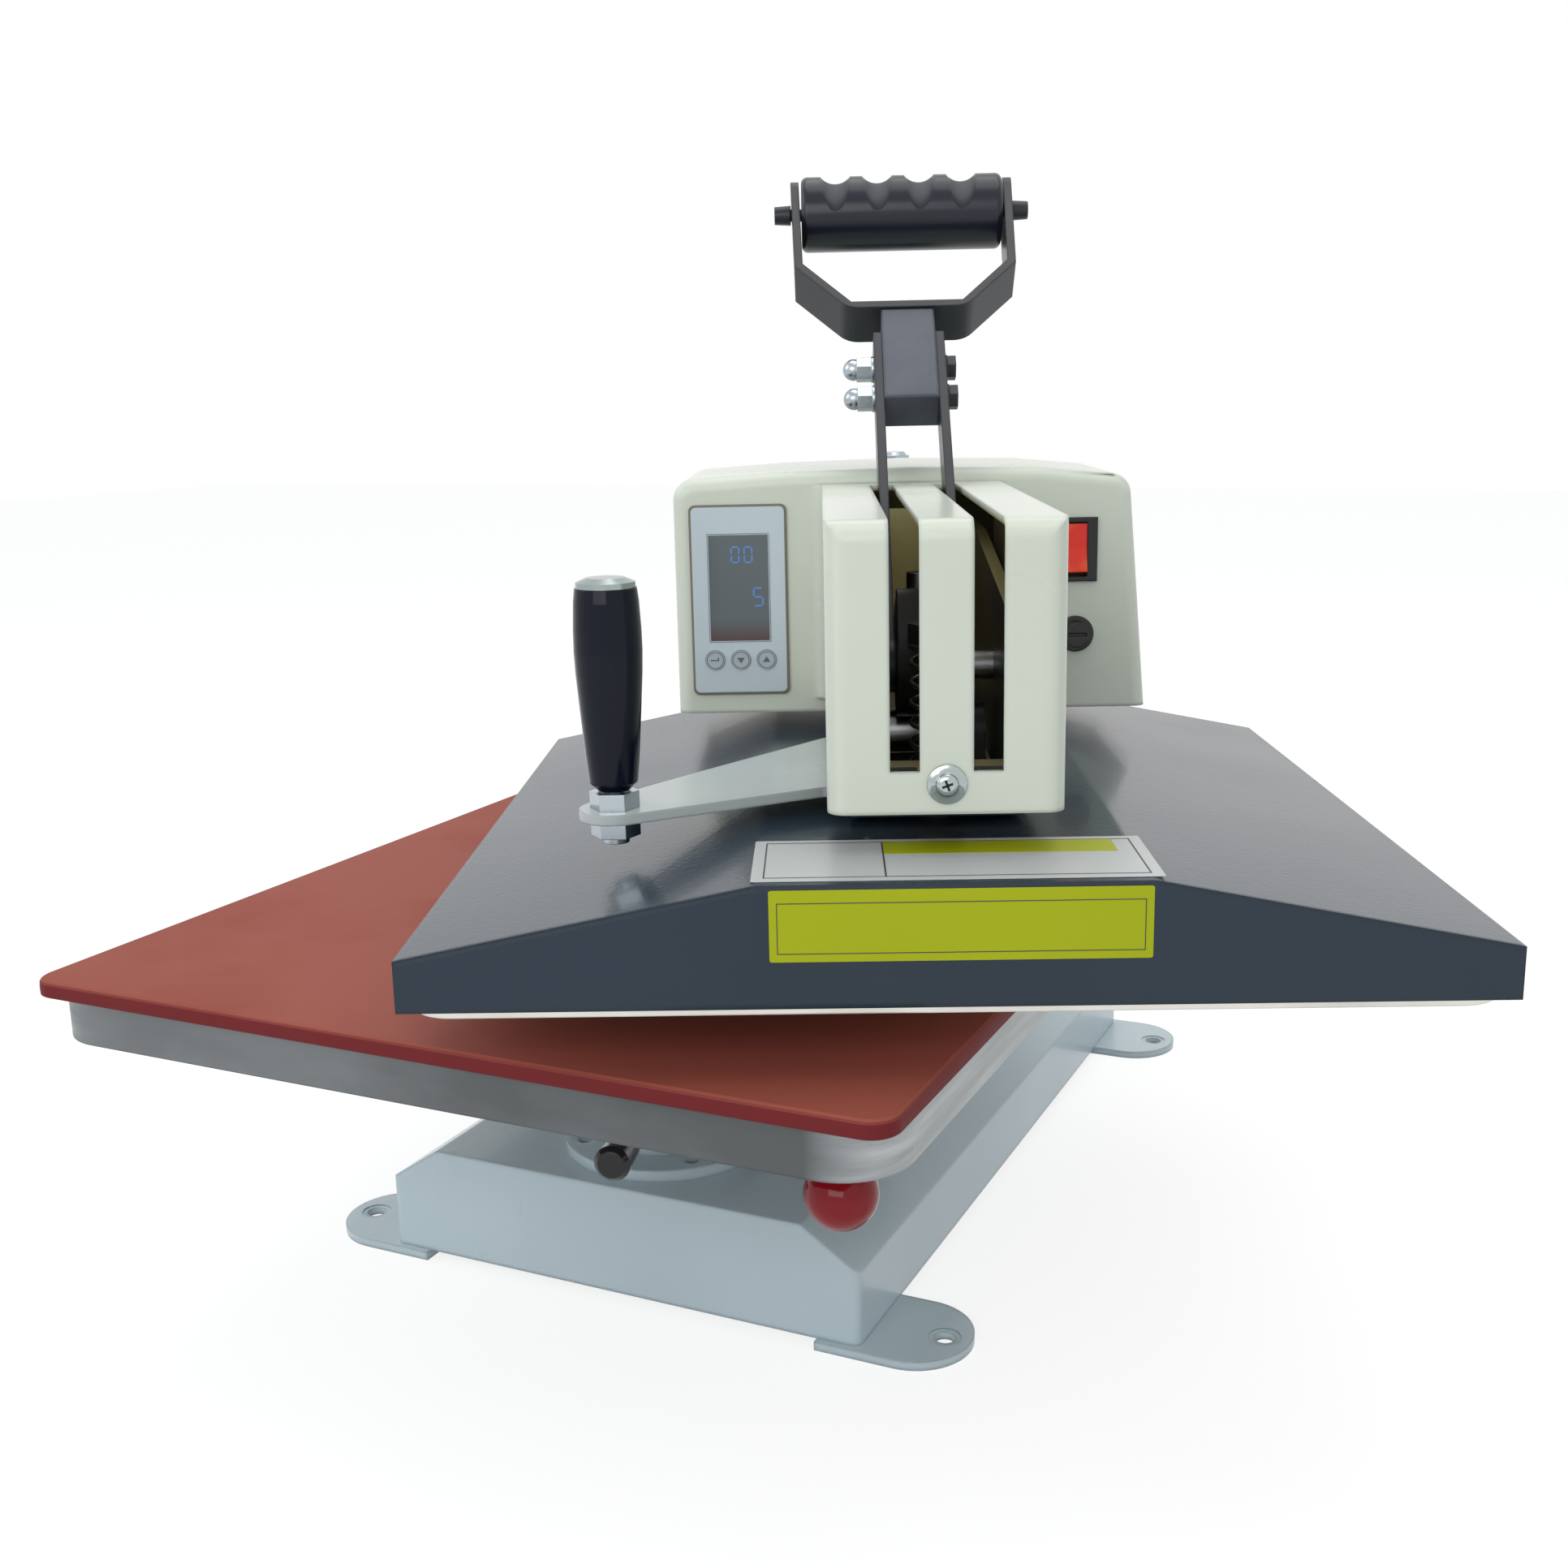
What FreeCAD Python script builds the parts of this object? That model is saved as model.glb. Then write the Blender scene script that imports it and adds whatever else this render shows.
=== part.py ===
import FreeCAD, Part
import Sketcher
import math
import os
import re

# Flat heat press with a swing-away head.
# Millimetres, +Z up, +X right, +Y to the back; the origin lies on the bench,
# midway between the four foot holes. The head is drawn closed over the lower
# platen and then swung out about the post by the angle head_turn.

os.makedirs("parts", exist_ok=True)
doc = FreeCAD.newDocument("heat_press")
sheet = doc.addObject("Spreadsheet::Sheet", "sizes")

# Driving sizes: name and value, one row each.
SIZES = [
    # base and feet
    ("base_length", 422), ("base_width", 242), ("base_top_width", 188), ("base_top", 56),
    ("base_side_top", 38), ("base_wall", 3), ("base_corner", 4), ("ear_plate", 4), ("ear_width", 52),
    ("ear_inner", 101), ("ear_centre", 137), ("ear_hole_x", 151), ("ear_hole_y", 188), ("ear_hole", 9),
    ("ear_spot", 14), ("ear_spot_depth", 0.5),
    # fits and screws that several pieces share; past is how far a cut runs beyond its piece
    ("run_gap", 0.05), ("loose_gap", 0.3), ("small_screw", 5), ("small_flats", 8), ("small_head", 3.5),
    ("past", 1),
    # post
    ("post_y", 138), ("post_dia", 50), ("post_foot_dia", 64), ("post_shoulder", 182), ("post_top", 345),
    ("post_flange_dia", 112), ("post_flange", 10), ("post_bolt_circle", 88), ("post_bolt_hole", 8.5),
    ("post_bolt", 8), ("stop_disc_dia", 98), ("stop_disc", 10), ("stop_pin_dia", 8),
    ("stop_circle", 41), ("stop_pin_top", 197), ("stop_angle", 14.3), ("lug_width", 12),
    ("head_turn", 24), ("swing_travel", 120), ("post_bolt_flats", 13), ("post_bolt_head", 5.3),
    ("post_washer_dia", 16), ("post_washer", 1.6), ("post_nut", 6.8), ("post_bolt_tail", 12),
    ("cap_dia", 68), ("cap_thick", 8), ("cap_bevel", 1), ("cap_bolt", 12), ("cap_bolt_depth", 40),
    ("cap_bolt_flats", 18), ("cap_bolt_head", 10), ("crown_foot_dia", 16.8), ("crown_dia", 14),
    ("crown_high", 2),
    # lower platen
    ("platen_y", -156), ("socket_dia", 64), ("spindle_bore", 12.05), ("socket_top", 96),
    ("socket_flange_dia", 96), ("socket_flange", 6), ("socket_bolt_circle", 80),
    ("socket_bolt_hole", 6.6), ("collar_dia", 58), ("collar_gap", 0.3), ("collar_high", 18),
    ("thread_dia", 24), ("spindle_low", 62), ("spindle_flange_dia", 110), ("spindle_flange", 10),
    ("tray_low", 146.8), ("tray_top", 165.4), ("tray_size", 374), ("tray_corner", 26), ("tray_wall", 4),
    ("pad_size", 380), ("pad_thick", 7), ("pad_corner", 15), ("pad_soft", 1), ("tray_screw", 6),
    ("rod_dia", 8), ("ball_dia", 30), ("ball_reach", 161), ("ball_height", 95), ("ball_drop", 12),
    ("rod_angle", -35.7), ("lock_angle", 13.7), ("lock_height", 83), ("lock_end_dia", 16),
    ("lock_root_dia", 10), ("lock_length", 55), ("lock_screw", 8), ("lock_screw_length", 40),
    ("lock_gap", 1.5), ("lock_end_bevel", 2), ("notch_dia", 3.2), ("notch_out", 0.6), ("rod_root", 16),
    ("ball_flat", 0.4), ("neck_dia", 13), ("neck_out", 1.5), ("neck_long", 4), ("thread_bevel", 1.5),
    ("spindle_cone", 6), ("tray_screw_circle", 80), ("tray_screw_head", 6), ("tray_screw_head_dia", 10),
    ("tray_screw_key", 5), ("tray_screw_key_depth", 3), ("tray_screw_in", 11.5), ("rib_half", 3),
    ("tray_lip", 4), ("tray_cut_corner", 22), ("boss_wall", 3),
    # head arm
    ("sleeve_dia", 70), ("sleeve_bore", 54), ("sleeve_low", 186), ("sleeve_top", 344),
    ("bush_length", 30), ("arm_half", 32.5), ("arm_plate", 5), ("arm_low", 244), ("arm_floor", 4),
    ("arm_top", 338), ("arm_front", -262), ("arm_front_top", 315.5), ("arm_slope_end", -102),
    ("arm_window_x", 26), ("arm_window_y", 21), ("arm_overlap", 15), ("tongue_half", 8),
    ("tongue_low", 259), ("tongue_lap", 12), ("lip_thick", 3), ("lug_root", 31), ("lug_reach", 47),
    ("lug_high", 12), ("swing_screw_x", 20), ("swing_screw_front", 238), ("swing_screw_back", 214),
    ("sleeve_rim", 2), ("lever_pin_out", 3.5), ("lever_pin_head", 3), ("lever_pin_head_high", 4),
    ("clip_out", 2), ("clip_rim", 2), ("clip_thick", 1.2), ("guide_bush_dia", 16),
    ("cover_front", -310), ("cover_wall", 2.5), ("lip_top", 277), ("cover_screw_z", 267.3),
    ("cover_screw", 4), ("swing_plate", 4), ("pivot_y", -184), ("pivot_z", 289), ("pin_dia", 12),
    ("grip_x", -120), ("grip_y", -273), ("grip_low", 258.4), ("grip_long", 78), ("swing_front", 243),
    ("swing_back", 148), ("swing_notch_front", 208), ("swing_notch_back", 182), ("swing_room", 5),
    ("swing_in", 13), ("swing_notch_x", 27.5), ("swing_wall_x", 34), ("swing_bend_x", 43),
    ("swing_back_bend_x", 85.5), ("swing_back_bend_y", 204), ("swing_tip_dia", 26.4), ("stud_out", 5),
    ("grip_pin_dia", 7), ("grip_pin_short", 8), ("grip_bore_dia", 7.2), ("grip_gap", 0.5),
    ("grip_body", 75), ("grip_foot_dia", 12), ("grip_bead_dia", 18), ("grip_belly_dia", 25),
    ("grip_top_dia", 22.6), ("cap_rim_dia", 21.6), ("cap_rim", 2), ("cap_top_dia", 14),
    ("cap_crown", 1.6), ("stud_dia", 10), ("nut_flats", 16), ("nut_high", 6.4),
    # lever
    ("lever_lean", 45), ("bar_wide", 18), ("bar_thick", 4), ("bar_gap", 25), ("bar_over", 15),
    ("bar_boss", 2), ("block_from", 143.5), ("block_long", 57), ("block_deep", 20),
    ("block_bevel", 0.8), ("clamp_bolt", 6), ("clamp_flats", 10), ("clamp_washer_dia", 12),
    ("clamp_washer", 1), ("clamp_head", 4), ("clamp_tail", 9), ("dome_washer", 1.2), ("dome_nut", 6.8),
    ("dome_dia", 9.8), ("dome_out", 9.5), ("yoke_screw_in", 13), ("yoke_screw_head", 2.5),
    ("yoke_draw_in", 2), ("clamp_first", 152), ("clamp_step", 18.7), ("yoke_wide", 22),
    ("yoke_thick", 4), ("yoke_root_half", 28), ("yoke_round", 12), ("yoke_half", 55),
    ("yoke_shoulder", 29), ("yoke_end", 297), ("grip_centre", 279), ("lever_grip_dia", 36),
    ("lever_grip_half", 49.5), ("lever_grip_round", 3), ("dent_pitch", 20.7), ("dent_first", 32.5),
    ("dent_centre", 11), ("dent_round", 9.5), ("dent_ahead", 4.2), ("dent_down", 2.9),
    ("grip_bolt_dia", 6), ("grip_bolt_in", 24), ("grip_head_draft", 0.5), ("grip_head_dia", 9.6),
    ("grip_head", 8), ("cam_roller", 9), ("cam_start", 27), ("press_stroke", 21.5),
    ("lever_travel", 135), ("roller_half", 17.2), ("fork_inner", 17.6), ("fork_cheek", 6),
    ("fork_deep", 32), ("fork_low", 228), ("fork_base", 8), ("fork_over", 12), ("fork_round", 11.5),
    ("fork_screw_x", 11), ("fork_screw_y", 10), ("fork_screw_head_dia", 8.4), ("fork_screw_head", 4),
    ("roller_pin", 10), ("roller_pin_out", 1), ("roller_pin_rim", 1.5),
    # press slide
    ("plate_low", 196), ("plate_thick", 10), ("plate_inset", 3), ("plate_corner", 15), ("tube_dia", 8),
    ("tube_bend", 22), ("tube_front", 150), ("tube_back", 140), ("tube_wide", 150), ("tube_near", 85),
    ("tube_mid_back", 96), ("tube_lead", 15), ("plate_bolt_skin", 2.5), ("blanket_inset", 7),
    ("blanket_corner", 12), ("blanket_thick", 4), ("carrier_low", 222), ("carrier_thick", 6),
    ("carrier_x", 55), ("carrier_front", -251), ("carrier_back", -74), ("carrier_round", 8),
    ("spacer_dia", 16), ("spacer_x", 44), ("spacer_y", 68), ("slide_bolt", 6), ("slide_bolt_hole", 6.4),
    ("slide_bolt_in", 7), ("slide_flats", 10), ("slide_head", 4), ("guide_step", 55), ("guide_tail", 7),
    ("guide_tail_dia", 8), ("guide_tail_flats", 13), ("guide_washer_dia", 20), ("guide_washer", 1.5),
    ("guide_nut_flats", 17), ("guide_nut", 8), ("guide_dia", 10), ("guide_top", 322),
    ("bush_flange_dia", 22), ("bush_flange", 7.5), ("spring_wire", 2), ("spring_mean", 17),
    ("spring_turns", 6), ("guide_nut_low", 306), ("hood_half", 188), ("hood_long", 380),
    ("hood_low", 199), ("hood_side", 18.5), ("hood_ridge_half", 66), ("hood_top", 242),
    ("hood_sheet", 1.5), ("hood_window_y", 18), ("hood_guide_gap", 1), ("hood_screw_x", 33),
    ("hood_screw_y", 32), ("hood_screw", 4), ("hood_screw_head_dia", 7.2), ("hood_screw_head", 1.6),
    ("hood_post_flats", 9),
    # head cover and controls
    ("cover_round", 7), ("box_edge_round", 6), ("box_round", 10), ("blend_round", 6),
    ("nose_half", 41.5), ("nose_low", 256.5), ("nose_top", 358), ("box_front", -72), ("box_back", 43),
    ("box_left", -112), ("box_right_low", 112), ("box_right_top", 103), ("box_low", 250),
    ("box_top", 365), ("box_edge_top", 359.5), ("slot_near", 9.3), ("slot_far", 19.6),
    ("slot_low", 271.5), ("slot_back", -91.5), ("panel_x", -81.5), ("panel_z", 304.3),
    ("panel_wide", 44), ("panel_high", 88), ("panel_thick", 2), ("screen_wide", 28),
    ("screen_high", 50), ("screen_z", 310.2), ("button_dia", 9), ("button_z", 276),
    ("button_step", 12.3), ("rocker_x", 74.9), ("rocker_z", 325.4), ("rocker_wide", 25),
    ("rocker_high", 30), ("rocker_pivot", -68), ("rocker_pin", 3), ("rocker_tip", 15.5),
    ("fuse_x", 77.8), ("fuse_z", 285.6), ("fuse_dia", 17), ("back_plate", 2), ("back_gap", 0.5),
    ("arm_room", 0.5), ("inlet_hole", 28), ("flange_thick", 1.5), ("crown_right", 60), ("crown_left", 60),
    ("crown_fall", 1.2), ("left_rise", 1.3), ("window_gap", 1), ("button_gap", 0.4),
    ("rocker_lap", 1.5), ("fuse_hole", 12.4), ("vent_dia", 3.6), ("vent_first_x", 64),
    ("vent_step_x", 8), ("vent_first_z", 280), ("vent_step_z", 10), ("washer_dia", 14),
    ("washer_thick", 0.8), ("screw_crown_dia", 5.2), ("screw_crown_high", 2.2), ("screw_head_dia", 8),
    ("cover_screw_long", 8),
    # inlet
    ("inlet_x", -70), ("inlet_z", 300), ("inlet_high", 24), ("inlet_body_wide", 27),
    ("inlet_body_high", 23.2), ("inlet_body_in", 16), ("inlet_rim_wide", 40), ("inlet_rim_high", 28),
    ("inlet_rim", 2), ("socket_wide", 22), ("socket_high", 16), ("socket_deep", 10), ("blade_wide", 2),
    ("blade_high", 6), ("blade_out", 10), ("blade_step", 7), ("blade_rise", 4),
    # control panel and its board
    ("panel_round", 2.5), ("board_behind", 5), ("board_thick", 1.6), ("board_wide", 52),
    ("board_high", 94), ("board_down", 48), ("display_gap", 0.5), ("display_deep", 6.7),
    ("display_out", 0.8), ("tact_wide", 6), ("tact_thick", 2.4), ("tact_in", 3), ("button_out", 1),
    ("button_long", 3.6), ("button_stem_dia", 3), ("button_stem_long", 3.8),
    # switch and fuse
    ("bezel_thick", 2), ("switch_inset", 1.7), ("switch_deep", 18), ("switch_well_wide", 15.6),
    ("switch_well_high", 25.4), ("switch_well_deep", 12), ("rocker_body_wide", 15.2), ("pin_long", 18),
    ("pin_end_gap", 0.3), ("tab_wide", 6), ("tab_long", 8), ("tab_thick", 1), ("tab_step", 8),
    ("fuse_rim", 2), ("fuse_body_dia", 12), ("fuse_body_long", 26), ("fuse_nut_flats", 16),
    ("fuse_nut", 3), ("fuse_bore_dia", 9.2), ("fuse_bore_deep", 21), ("fuse_cap_dia", 12),
    ("fuse_cap_out", 7), ("fuse_cap_high", 4.7), ("fuse_stem_dia", 8.8), ("fuse_stem_in", 16),
    ("slit_wide", 1.6), ("slit_deep", 1.2),
]
NAMES = dict(SIZES)
for row, (alias, value) in enumerate(SIZES, start=1):
    sheet.set("A%d" % row, alias)
    sheet.set("B%d" % row, str(value))
    sheet.setAlias("B%d" % row, alias)
doc.recompute()

X, Y, Z = FreeCAD.Vector(1, 0, 0), FreeCAD.Vector(0, 1, 0), FreeCAD.Vector(0, 0, 1)
UP = FreeCAD.Rotation()
ALONG_X = FreeCAD.Rotation(Y, 90)
ALONG_Y = FreeCAD.Rotation(X, -90)
nodes = []


# General helpers. A rule is a formula in the names of the sheet, kept as text.

def bind(thing, prop, rule):
    """Ties a property to a rule."""
    rule = re.sub(r"[a-z][a-z_]*[a-z0-9]", lambda w: "sizes." + w[0] if w[0] in NAMES else w[0], str(rule))
    thing.setExpression(prop, rule)


def put(thing, x, y, z, turn=UP):
    """Places a thing by three rules and a fixed turn."""
    thing.Placement = FreeCAD.Placement(FreeCAD.Vector(), turn)
    for axis, rule in zip("xyz", (x, y, z)):
        bind(thing, "Placement.Base." + axis, rule)
    return thing


def box(x, y, z, dx, dy, dz):
    """Box centred on x and y that stands on z."""
    b = doc.addObject("Part::Box", "block")
    for prop, rule in (("Length", dx), ("Width", dy), ("Height", dz)):
        bind(b, prop, rule)
    return put(b, "%s - (%s) / 2" % (x, dx), "%s - (%s) / 2" % (y, dy), z)


def rod(x, y, z, radius, length, turn=UP):
    """Round bar that starts at x, y, z."""
    c = doc.addObject("Part::Cylinder", "round")
    bind(c, "Radius", radius)
    bind(c, "Height", length)
    return put(c, x, y, z, turn)


def cone(x, y, z, low, high, length, turn=UP):
    """Tapered bar that starts at x, y, z."""
    c = doc.addObject("Part::Cone", "taper")
    for prop, rule in (("Radius1", low), ("Radius2", high), ("Height", length)):
        bind(c, prop, rule)
    return put(c, x, y, z, turn)


def hexagon(x, y, z, flats, length, turn=UP):
    """Hexagonal bar for a nut or a bolt head."""
    p = doc.addObject("Part::Prism", "hexagon")
    p.Polygon = 6
    bind(p, "Circumradius", "(%s) / 2 / cos(30)" % flats)
    bind(p, "Height", length)
    return put(p, x, y, z, turn)


def fuse(*things):
    f = doc.addObject("Part::MultiFuse", "joined")
    f.Shapes = list(things)
    f.Refine = True
    return f


def group(*things):
    """Several separate solids that make one node."""
    g = doc.addObject("Part::Compound", "set")
    g.Links = list(things)
    return g


def cut(thing, *tools):
    """The thing without its tools."""
    c = doc.addObject("Part::Cut", "cut")
    c.Base = thing
    c.Tool = tools[0] if len(tools) == 1 else fuse(*tools)
    c.Refine = True
    return c


def round_edges(thing, radius, wanted):
    """Rounds the edges of a thing that the test picks."""
    doc.recompute()
    f = doc.addObject("Part::Fillet", "rounded")
    f.Base = thing
    picked = [n for n, e in enumerate(thing.Shape.Edges, start=1) if wanted(e)]
    f.Edges = [(n, radius, radius) for n in picked]
    return f


def bevel_edges(thing, size, wanted):
    """Bevels the edges of a thing that the test picks."""
    doc.recompute()
    f = doc.addObject("Part::Chamfer", "bevelled")
    f.Base = thing
    f.Edges = [(n, size, size) for n, e in enumerate(thing.Shape.Edges, start=1) if wanted(e)]
    return f


def upright(edge):
    """True for a straight edge that runs straight up."""
    a, b = edge.Vertexes[0].Point, edge.Vertexes[-1].Point
    return (a - b).Length > 0.5 and abs(abs((a - b).z) - (a - b).Length) < 1e-6


def sketch(body, plane, shift="0"):
    """Sketch on an origin plane of the body, moved along its normal by a rule."""
    s = body.newObject("Sketcher::SketchObject", "outline")
    origin_plane = [f for f in body.Origin.OriginFeatures if f.Role == plane][0]
    s.AttachmentSupport = (origin_plane, [""])
    s.MapMode = "FlatFace"
    bind(s, "AttachmentOffset.Base.z", shift)
    return s


def corner_line(s, points):
    """Closed outline through corners that are given by rules; fully held."""
    first = s.GeometryCount
    count = len(points)
    spots = [FreeCAD.Vector(50 * math.cos(2 * math.pi * i / count), 50 * math.sin(2 * math.pi * i / count), 0)
             for i in range(count)]
    for i in range(count):
        s.addGeometry(Part.LineSegment(spots[i], spots[(i + 1) % count]), False)
    for i in range(count):
        s.addConstraint(Sketcher.Constraint("Coincident", first + i, 2, first + (i + 1) % count, 1))
    for i, (u, v) in enumerate(points):
        for kind, rule, start in (("DistanceX", u, spots[i].x), ("DistanceY", v, spots[i].y)):
            n = s.addConstraint(Sketcher.Constraint(kind, -1, 1, first + i, 1, start))
            bind(s, "Constraints[%d]" % n, rule)
    return s


def ring(s, u, v, radius):
    """Circle about u, v."""
    g = s.addGeometry(Part.Circle(FreeCAD.Vector(1, 1, 0), Z, 2), False)
    for kind, rule in (("DistanceX", u), ("DistanceY", v)):
        n = s.addConstraint(Sketcher.Constraint(kind, -1, 1, g, 3, 1.0))
        bind(s, "Constraints[%d]" % n, rule)
    n = s.addConstraint(Sketcher.Constraint("Radius", g, 2.0))
    bind(s, "Constraints[%d]" % n, radius)
    return s


def pad(body, s, length, both_sides=False, backwards=False):
    p = body.newObject("PartDesign::Pad", "pad")
    p.Profile = s
    bind(p, "Length", length)
    p.Midplane = both_sides
    p.Reversed = backwards
    return p


def pocket(body, s, length, both_sides=False, backwards=False):
    p = body.newObject("PartDesign::Pocket", "pocket")
    p.Profile = s
    bind(p, "Length", length)
    p.Midplane = both_sides
    p.Reversed = backwards
    return p


def spin(body, s, axis="V_Axis", cutting=False):
    """Full turn of a sketch about its own upright axis."""
    p = body.newObject("PartDesign::Groove" if cutting else "PartDesign::Revolution", "turned")
    p.Profile = s
    p.ReferenceAxis = (s, [axis])
    p.Angle = 360
    return p


def new_body(name):
    return doc.addObject("PartDesign::Body", name)


def node(name, thing, on_head=False):
    """Names a finished piece; head pieces are swung out about the post."""
    doc.recompute()
    thing.Label = name
    if on_head:
        thing.Placement = FreeCAD.Placement(FreeCAD.Vector(), FreeCAD.Rotation(Z, 1))
        bind(thing, "Placement.Rotation.Angle", "head_turn")
        bind(thing, "Placement.Base.x", "post_y * sin(head_turn)")
        bind(thing, "Placement.Base.y", "post_y * (1 - cos(head_turn))")
    nodes.append(thing)
    return thing


# Base: folded sheet box, open below, with bevelled shoulders along both sides.
body = new_body("base_body")
shell = sketch(body, "XZ_Plane")
corner_line(shell, [("-base_width / 2", "ear_plate"), ("base_width / 2", "ear_plate"),
                    ("base_width / 2", "base_side_top"), ("base_top_width / 2", "base_top"),
                    ("-base_top_width / 2", "base_top"), ("-base_width / 2", "base_side_top")])
pad(body, shell, "base_length", both_sides=True)
hollow = sketch(body, "XZ_Plane")
corner_line(hollow, [("-base_width / 2 + base_wall", "ear_plate - 1"),
                     ("base_width / 2 - base_wall", "ear_plate - 1"),
                     ("base_width / 2 - base_wall", "base_side_top - base_wall / 3"),
                     ("base_top_width / 2 - base_wall / 3", "base_top - base_wall"),
                     ("-base_top_width / 2 + base_wall / 3", "base_top - base_wall"),
                     ("-base_width / 2 + base_wall", "base_side_top - base_wall / 3")])
pocket(body, hollow, "base_length - 2 * base_wall", both_sides=True)
holes = sketch(body, "XY_Plane", "base_top + 1")
for i in range(4):
    angle = 45 + 90 * i
    ring(holes, "post_bolt_circle / 2 * cos(%d)" % angle, "post_y + post_bolt_circle / 2 * sin(%d)" % angle,
         "post_bolt_hole / 2")
    ring(holes, "socket_bolt_circle / 2 * cos(%d)" % angle,
         "platen_y + socket_bolt_circle / 2 * sin(%d)" % angle, "socket_bolt_hole / 2")
pocket(body, holes, "base_wall + 2")
node("base_frame", round_edges(body, NAMES["base_corner"], lambda e: (
    upright(e) and abs(e.Vertexes[0].Point.x) > NAMES["base_width"] / 2 - 0.1)))

# Feet: four plates under the corners, each with a round end and a spot-faced hole.
ears = []
for side in (1, -1):
    for end in (1, -1):
        centre = "%d * ear_hole_y" % end
        plate = fuse(box("%d * (ear_inner + ear_centre) / 2" % side, centre, "0",
                         "ear_centre - ear_inner", "ear_width", "ear_plate"),
                     rod("%d * ear_centre" % side, centre, "0", "ear_width / 2", "ear_plate"))
        ears.append(cut(plate, rod("%d * ear_hole_x" % side, centre, "-1", "ear_hole / 2", "ear_plate + 2"),
                        rod("%d * ear_hole_x" % side, centre, "ear_plate - ear_spot_depth", "ear_spot / 2",
                            "2")))
node("mounting_ears", group(*ears))

# Post: one turned piece from the flange to the top, with a disc for the stop pins.
body = new_body("post_body")
half = sketch(body, "XZ_Plane", "-post_y")
corner_line(half, [("0", "base_top"), ("post_flange_dia / 2", "base_top"),
                   ("post_flange_dia / 2", "base_top + post_flange"),
                   ("post_foot_dia / 2", "base_top + post_flange"),
                   ("post_foot_dia / 2", "post_shoulder - stop_disc"),
                   ("stop_disc_dia / 2", "post_shoulder - stop_disc"),
                   ("stop_disc_dia / 2", "post_shoulder"), ("post_dia / 2", "post_shoulder"),
                   ("post_dia / 2", "post_top"), ("0", "post_top")])
spin(body, half)
tap = sketch(body, "XY_Plane", "post_top")
ring(tap, "0", "post_y", "cap_bolt / 2")
pocket(body, tap, "cap_bolt_depth + 2")
feet = sketch(body, "XY_Plane", "base_top + post_flange")
for i in range(4):
    ring(feet, "post_bolt_circle / 2 * cos(%d)" % (45 + 90 * i),
         "post_y + post_bolt_circle / 2 * sin(%d)" % (45 + 90 * i), "post_bolt_hole / 2")
pocket(body, feet, "post_flange + 1")
pins = sketch(body, "XY_Plane", "post_shoulder")
STOPS = ("90 - stop_angle", "90 + swing_travel + stop_angle")
for way in STOPS:
    ring(pins, "stop_circle * cos(%s)" % way, "post_y + stop_circle * sin(%s)" % way, "stop_pin_dia / 2")
pocket(body, pins, "stop_disc")
node("swing_post", body)

# Two pins on the disc stop the head at both ends of its swing.
node("stop_pins", group(*[
    rod("stop_circle * cos(%s)" % way, "post_y + stop_circle * sin(%s)" % way, "post_shoulder - stop_disc",
        "stop_pin_dia / 2", "stop_pin_top - post_shoulder + stop_disc") for way in STOPS]))

# Post bolts: head above the flange, nut and washer inside the base.
bolts = []
for i in range(4):
    x = "post_bolt_circle / 2 * cos(%d)" % (45 + 90 * i)
    y = "post_y + post_bolt_circle / 2 * sin(%d)" % (45 + 90 * i)
    under = "base_top - base_wall"
    bolts.append(fuse(rod(x, y, under + " - post_bolt_tail", "post_bolt / 2",
                          "post_bolt_tail + base_wall + post_flange + post_bolt_head / 2"),
                      hexagon(x, y, "base_top + post_flange", "post_bolt_flats", "post_bolt_head"),
                      rod(x, y, under + " - post_washer", "post_washer_dia / 2", "post_washer"),
                      hexagon(x, y, under + " - post_washer - post_nut", "post_bolt_flats", "post_nut")))
node("post_bolts", group(*bolts))

cap = cut(rod("0", "post_y", "post_top", "cap_dia / 2", "cap_thick"),
          rod("0", "post_y", "post_top - past", "cap_bolt / 2 + loose_gap", "cap_thick + 2 * past"))
node("post_cap", bevel_edges(cap, NAMES["cap_bevel"], lambda e: (
    abs(e.BoundBox.ZMin - NAMES["post_top"] - NAMES["cap_thick"]) < 1e-6
    and e.Length > 2 * NAMES["cap_dia"])))
bolt = fuse(hexagon("0", "post_y", "post_top + cap_thick", "cap_bolt_flats", "cap_bolt_head"),
            rod("0", "post_y", "post_top - cap_bolt_depth", "cap_bolt / 2", "cap_bolt_depth + cap_thick"),
            cone("0", "post_y", "post_top + cap_thick + cap_bolt_head", "crown_foot_dia / 2", "crown_dia / 2",
                 "crown_high"))
node("post_bolt", bolt)

# Socket of the lower platen: a flanged tube on the base, bored for the spindle.
body = new_body("socket_body")
half = sketch(body, "XZ_Plane", "-platen_y")
corner_line(half, [("spindle_bore", "base_top"), ("socket_flange_dia / 2", "base_top"),
                   ("socket_flange_dia / 2", "base_top + socket_flange"),
                   ("socket_dia / 2", "base_top + socket_flange"), ("socket_dia / 2", "socket_top"),
                   ("spindle_bore", "socket_top")])
spin(body, half)
feet = sketch(body, "XY_Plane", "base_top + socket_flange")
for i in range(4):
    ring(feet, "socket_bolt_circle / 2 * cos(%d)" % (45 + 90 * i),
         "platen_y + socket_bolt_circle / 2 * sin(%d)" % (45 + 90 * i), "socket_bolt_hole / 2")
pocket(body, feet, "socket_flange + 1")
socket_body = body
LOCK = FreeCAD.Rotation(Z, FreeCAD.Vector(math.sin(math.radians(NAMES["lock_angle"])),
                                          -math.cos(math.radians(NAMES["lock_angle"])), 0))


def on_lock(reach):
    """Rules of a point on the lock screw's line, so far from the spindle axis."""
    return ("(%s) * sin(lock_angle)" % reach, "platen_y - (%s) * cos(lock_angle)" % reach, "lock_height")


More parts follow.
